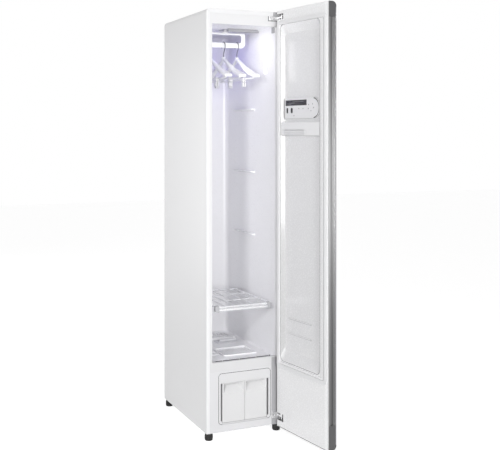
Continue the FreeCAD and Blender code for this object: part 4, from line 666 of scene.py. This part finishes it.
def panel_dots():
    """Status dots of the control panel."""
    dots = ((111.5, 1391.5, 2.6), (147.5, 1421.0, 2.4), (176.0, 1420.3, 2.4), (213.0, 1419.4, 2.8),
            (250.0, 1422.7, 2.8), (215.7, 1436.1, 2.4), (243.1, 1438.2, 2.4), (232.0, 1410.0, 2.2))
    roundness = 0.98
    marks = [outline(across - radius, across + radius, height - radius, height + radius,
                     radius * roundness, steps=3) for across, height, radius in dots]
    verts, faces = pads(panel_point, marks, low=-0.2, high=0.25, crown=0.1)
    new_piece("panel_dots", verts, faces, "mark_and_shade_grey", "door", smooth=True)


def display_bars():
    """Plain bars of the display, one above the other."""
    spans = ((58, 92), (58, 120), (100, 180))
    lowest, pitch, half_height, end_radius = 1439, 6, 0.9, 0.8
    bars = []
    for row, (start, end) in enumerate(spans):
        height = lowest + row * pitch
        bars.append(outline(start, end, height - half_height, height + half_height, end_radius,
                            steps=2))
    verts, faces = pads(panel_point, bars, low=-0.1, high=0.15, crown=0.05)
    new_piece("display_bars", verts, faces, "slot_and_shade_grey", "door", smooth=True)


def panel_end_strip():
    """Dark strip of painted shade along the round end of the control panel, narrowest at its middle."""
    centre_across, centre_height = 246.0, 1422.0
    inner_radius, outer_radius, widening = 39.4, 41.0, 2.4
    inner, outer = [], []
    for degrees in range(-84, 85, 8):
        turn = math.radians(degrees)
        reach = outer_radius + widening * abs(math.sin(turn))
        inner.append((centre_across + inner_radius * math.cos(turn),
                      centre_height + inner_radius * math.sin(turn)))
        outer.append((centre_across + reach * math.cos(turn), centre_height + reach * math.sin(turn)))
    verts, faces = strip(panel_point, inner, outer, low=-0.2, high=0.3)
    new_piece("panel_end_strip", verts, faces, "seam_and_shade_dark", "door")


def ceiling_outlet():
    """Air outlet bar across the ceiling, with its dark slit."""
    bar = outline(-6, 150, -102, -92, radius=4.9)
    slit = outline(4, 140, -99, -95, radius=1.9, steps=3)
    drop = 13.0
    verts, faces = pads(ceiling_point, [bar], low=0.1, high=drop, crown=2.0)
    new_piece("ceiling_outlet", verts, faces, "slot_and_shade_grey", "cabinet")
    verts, faces = pads(ceiling_point, [slit], low=drop - 0.5, high=drop + 0.25, crown=0.2)
    new_piece("ceiling_outlet_slit", verts, faces, "seam_and_shade_dark", "cabinet")


def floor_seal():
    """Dark strips in the gap between the floor plate and the front frame, in short lengths."""
    corner_x, corner_y, reach_x, reach_y = -121.0, -244.0, 12.0, 11.5
    turns = [math.radians(turn) for turn in range(10, 91, 10)]
    corner = [(corner_x - reach_x * math.cos(turn), corner_y - reach_y * math.sin(turn))
              for turn in turns]
    front = [(x, corner_y - reach_y) for x in range(-100, 101, 20)]
    path = corner + front + [(-x, y) for x, y in reversed(corner)]
    breaks = (0, 3, 9, 13, 17, 21, len(path) - 1)
    half_width, end_gap, clearance, strip_top = 0.9, 1.5, 0.1, 335.0
    verts, faces = [], []
    for start, stop in zip(breaks, breaks[1:]):
        run = path[start:stop + 1]
        run[0] = (run[0][0] + end_gap, run[0][1])
        run[-1] = (run[-1][0] - end_gap, run[-1][1])
        inner = [(x, y - half_width) for x, y in run]
        outer = [(x, y + half_width) for x, y in run]
        some, shapes = strip(floor_point, inner, outer, FLOOR_PLATE_TOP + clearance, strip_top)
        faces += [tuple(index + len(verts) for index in face) for face in shapes]
        verts += some
    new_piece("floor_seal", verts, faces, "seam_and_shade_dark", "cabinet")


def ridge_seams():
    """Grey strips of painted shadow under the two ridges low in the door's recess."""
    across_from, across_to, below_from, below_to = 59.0, 220.0, 4.6, 2.6
    lines = [outline(across_from, across_to, ridge - below_from, ridge - below_to, radius=0.9,
                     steps=3) for ridge in RIDGE_HEIGHTS]
    verts, faces = pads(door_point, lines, low=RECESS_FLOOR + 0.02, high=RECESS_FLOOR + 0.3,
                        crown=0.1)
    new_piece("ridge_seams", verts, faces, "slot_and_shade_grey", "door")


def door_base_seam():
    """Dark sealing line along the lower edge of the door's inner face."""
    line = outline(5.0, 353.0, 29.4, 32.0, radius=1.2, steps=3)
    verts, faces = pads(door_point, [line], low=0.02, high=0.3, crown=0.1)
    new_piece("door_base_seam", verts, faces, "mark_and_shade_grey", "door")


def hinge_plate_seam():
    """Dark sealing line along the left and lower edges of the upper hinge plate."""
    plate_left, plate_bottom, width, seam_right, seam_top = 114.7, 1810.7, 2.7, 160.0, 1830.0
    lines = [[(plate_left - out, seam_top), (plate_left - out, plate_bottom - out),
              (seam_right, plate_bottom - out)] for out in (0.0, width)]
    verts, faces = strip(case_point, *lines, low=0.05, high=2.8)
    new_piece("hinge_plate_seam", verts, faces, "mark_and_shade_grey", "cabinet")


def recess_bead():
    """Thin grey strip of painted shade round the recess of the door's inner face."""
    low_a, high_a, low_b, high_b = RECESS
    clear, width, far_width = 0.2, 2.2, 1.6
    inner = outline(low_a - clear, high_a + clear, low_b - clear, high_b + clear, radius=22)
    outer = outline(low_a - width, high_a + far_width, low_b - width, high_b + width, radius=23)
    verts, faces = strip(door_point, inner, outer, low=-0.1, high=0.25, closed=True)
    new_piece("recess_bead", verts, faces, "mark_and_shade_grey", "door")


def screw_head():
    """Countersunk cross head, 8 mm across, its axis along +Z; each ring is radius, level, slot level."""
    rings = ((4.0, -0.6, -0.6), (4.0, 0.25, 0.25), (3.3, 0.7, 0.7), (2.3, 0.85, 0.2), (0.8, 0.2, 0.2))
    count, arms = 16, 4
    verts = []
    for radius, high, low in rings:
        for step in range(count):
            turn = 2 * math.pi * step / count
            level = low if step % (count // arms) == 0 else high
            verts.append(metres(radius * math.cos(turn), radius * math.sin(turn), level))
    faces = []
    for ring in range(len(rings) - 1):
        here, there = ring * count, (ring + 1) * count
        for step in range(count):
            after = (step + 1) % count
            faces.append((here + step, here + after, there + after, there + step))
    faces.append(tuple(reversed(range(count))))
    faces.append(tuple((len(rings) - 1) * count + step for step in range(count)))
    mesh = bpy.data.meshes.new("screw_head")
    mesh.from_pydata(verts, [], faces)
    return bpy.data.objects.new("screw_head", mesh)


def row_group():
    """Geometry node group: copies of one piece along a straight line, realised, with one finish."""
    group = bpy.data.node_groups.new("row_of_pieces", "GeometryNodeTree")
    for label, kind in (("Geometry", "NodeSocketGeometry"), ("Count", "NodeSocketInt"),
                        ("Start", "NodeSocketVector"), ("Step", "NodeSocketVector"),
                        ("Turn", "NodeSocketRotation"), ("Piece", "NodeSocketObject"),
                        ("Finish", "NodeSocketMaterial")):
        group.interface.new_socket(name=label, in_out="INPUT", socket_type=kind)
    group.interface.new_socket(name="Geometry", in_out="OUTPUT", socket_type="NodeSocketGeometry")
    start = group.nodes.new("NodeGroupInput")
    end = group.nodes.new("NodeGroupOutput")
    line = group.nodes.new("GeometryNodeMeshLine")
    line.mode = "OFFSET"
    piece = group.nodes.new("GeometryNodeObjectInfo")
    copies = group.nodes.new("GeometryNodeInstanceOnPoints")
    real = group.nodes.new("GeometryNodeRealizeInstances")
    finish = group.nodes.new("GeometryNodeSetMaterial")
    group.links.new(start.outputs["Count"], line.inputs["Count"])
    group.links.new(start.outputs["Start"], line.inputs["Start Location"])
    group.links.new(start.outputs["Step"], line.inputs["Offset"])
    group.links.new(start.outputs["Piece"], piece.inputs["Object"])
    group.links.new(line.outputs["Mesh"], copies.inputs["Points"])
    group.links.new(piece.outputs["Geometry"], copies.inputs["Instance"])
    group.links.new(start.outputs["Turn"], copies.inputs["Rotation"])
    group.links.new(copies.outputs["Instances"], real.inputs["Geometry"])
    group.links.new(real.outputs["Geometry"], finish.inputs["Geometry"])
    group.links.new(start.outputs["Finish"], finish.inputs["Material"])
    group.links.new(finish.outputs["Geometry"], end.inputs["Geometry"])
    column = 220
    for index, node in enumerate((start, line, piece, copies, real, finish, end)):
        node.location = (column * index, 0)
    return group


ROW = row_group()


def row_of(piece, rows, name, finish, body):
    """One mesh of copies of a piece; each row is (count, start, step, turn) with turn in degrees."""
    inputs = {item.name: item.identifier for item in ROW.interface.items_tree
              if item.in_out == "INPUT"}
    made = bmesh.new()
    for count, start, step, turn in rows:
        carrier = bpy.data.objects.new(name + "_row", bpy.data.meshes.new(name + "_row"))
        bpy.context.scene.collection.objects.link(carrier)
        modifier = carrier.modifiers.new("row", "NODES")
        modifier.node_group = ROW
        for label, value in (("Count", count), ("Start", start), ("Step", step),
                             ("Turn", [math.radians(angle) for angle in turn]), ("Piece", piece),
                             ("Finish", MATERIALS[finish])):
            modifier[inputs[label]] = value
        graph = bpy.context.evaluated_depsgraph_get()
        mesh = bpy.data.meshes.new_from_object(carrier.evaluated_get(graph))
        made.from_mesh(mesh)
        bpy.data.objects.remove(carrier)
    merged = bpy.data.meshes.new(name)
    bmesh.ops.recalc_face_normals(made, faces=made.faces)
    made.to_mesh(merged)
    made.free()
    merged.materials.append(MATERIALS[finish])
    obj = bpy.data.objects.new(name, merged)
    bpy.context.scene.collection.objects.link(obj)
    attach(obj, body)


def screws():
    """Screws of the hinge plates and of the back panel."""
    head = screw_head()
    to_front, to_back = (90, 0, 0), (-90, 0, 0)
    hinge_face, hinge_pitch = -0.27275, (0.015, 0, 0)
    rows = [(2, (0.124, hinge_face, 1.821), hinge_pitch, to_front),
            (2, (0.138, hinge_face, 0.074), hinge_pitch, to_front)]
    row_of(head, rows, "hinge_screws", "hinge_metal", "cabinet")
    back_face, back_pitch = 0.2689, (0, 0, 0.158)
    rows = [(12, (side * 0.170, back_face, 0.075), back_pitch, to_back) for side in (-1, 1)]
    row_of(head, rows, "back_screws", "galvanised", "cabinet")
    bpy.data.objects.remove(head)


bay_seal()
ridge_seams()
door_base_seam()
hinge_plate_seam()
recess_bead()
panel_dots()
display_bars()
panel_end_strip()
ceiling_outlet()
floor_seal()
screws()


# ---- stage, camera and light ----

AMBIENT = 0.37
FLOOR_LIFT = 0.66
FLOOR_HALF_SIZE = 12.0


def white_floor():
    """Pale floor that the camera and reflections see brighter than it lights the object."""
    floor = bpy.data.meshes.new("floor")
    made = bmesh.new()
    bmesh.ops.create_grid(made, x_segments=1, y_segments=1, size=FLOOR_HALF_SIZE)
    made.to_mesh(floor)
    made.free()
    obj = bpy.data.objects.new("floor", floor)
    bpy.context.scene.collection.objects.link(obj)
    material = bpy.data.materials.new("floor_white")
    material.use_nodes = True
    tree = material.node_tree
    shader = tree.nodes["Principled BSDF"]
    shader.inputs["Base Color"].default_value = (0.80, 0.80, 0.80, 1)
    shader.inputs["Roughness"].default_value = 0.9
    shader.inputs["Specular IOR Level"].default_value = 0.1
    shader.inputs["Emission Color"].default_value = (1, 1, 1, 1)
    seen = math_node(tree, "MULTIPLY", direct_rays(tree), FLOOR_LIFT, (-250, -200))
    link(tree, seen, "Value", shader, "Emission Strength")
    floor.materials.append(material)


def direct_rays(tree):
    """1 for rays from the camera, a mirror surface or a clear one, 0 for rays that light the object."""
    rays = add_node(tree, "ShaderNodeLightPath", (-900, -200))
    sharp = math_node(tree, "MAXIMUM", (rays, "Is Camera Ray"), (rays, "Is Glossy Ray"), (-700, -200))
    every = math_node(tree, "MAXIMUM", (sharp, "Value"), (rays, "Is Transmission Ray"), (-500, -200))
    return every, "Value"


def set_world():
    """White seen directly and in reflections; a softer white lights the object."""
    world = bpy.data.worlds.new("studio")
    bpy.context.scene.world = world
    world.use_nodes = True
    tree = world.node_tree
    background = tree.nodes["Background"]
    background.inputs["Color"].default_value = (1, 1, 1, 1)
    seen = map_range(tree, direct_rays(tree), 0.0, 1.0, AMBIENT, 1.0, (-250, 0))
    tree.links.new(seen.outputs["Result"], background.inputs["Strength"])


def area_light(name, place, target, size, power, colour):
    """Rectangular soft light that faces a target point; only its light shows, not the lamp."""
    data = bpy.data.lights.new(name, "AREA")
    data.shape = "RECTANGLE"
    data.size, data.size_y = size
    data.energy = power
    data.color = colour
    obj = bpy.data.objects.new(name, data)
    obj.location = place
    direction = Vector(target) - Vector(place)
    obj.rotation_euler = direction.to_track_quat("-Z", "Y").to_euler()
    obj.visible_camera = False
    bpy.context.scene.collection.objects.link(obj)


CAMERA_PLACE = (-1.5432, -3.6132, 1.3185)
CAMERA_YAW = 0.408
FOCAL_PIXELS = 847.24
CENTRE_PIXEL = (224.19, 132.58)
IMAGE_SIZE = (500, 450)


def add_camera():
    """Level camera whose shift puts its axis on the centre pixel."""
    data = bpy.data.cameras.new("camera")
    data.sensor_width = 36.0
    data.lens = FOCAL_PIXELS * data.sensor_width / IMAGE_SIZE[0]
    data.shift_x = (IMAGE_SIZE[0] / 2 - CENTRE_PIXEL[0]) / IMAGE_SIZE[0]
    data.shift_y = (CENTRE_PIXEL[1] - IMAGE_SIZE[1] / 2) / IMAGE_SIZE[0]
    obj = bpy.data.objects.new("camera", data)
    obj.location = CAMERA_PLACE
    obj.rotation_euler = (math.radians(90), 0, -CAMERA_YAW)
    bpy.context.scene.collection.objects.link(obj)
    bpy.context.scene.camera = obj


white_floor()
set_world()
add_camera()
bpy.context.scene.view_settings.view_transform = "Standard"

WHITE = (1, 1, 1)
# lamp: place, target, size, watts, colour
LAMPS = {
    "key": ((-2.9, -3.0, 1.9), (0.0, -0.27, 0.95), (0.6, 0.9), 62, WHITE),
    "front": ((-0.35, -4.7, 1.35), (0.0, 0.0, 0.95), (1.3, 1.9), 90, WHITE),
    "left_back": ((-3.0, 4.2, 1.0), (-0.18, 0.0, 0.9), (1.2, 2.2), 42, WHITE),
    "cabin_lamp": ((0.02, -0.175, 1.645), (0.16, -0.165, 1.645), (0.10, 0.18), 0.075,
                   (1.0, 1.0, 0.96)),
    "hanger_lamp": ((-0.03, -0.235, 1.765), (0.0, -0.10, 1.55), (0.20, 0.04), 0.05, WHITE),
    "ceiling_wash": ((0.02, -0.02, 1.70), (0.02, -0.02, 1.79), (0.22, 0.22), 0.028, WHITE),
    "violet_glow": ((0.0, 0.1, 1.775), (0.0, 0.14, 1.2), (0.14, 0.14), 0.15, (0.32, 0.26, 1.0)),
}
for lamp_name, values in LAMPS.items():
    area_light(lamp_name, *values)
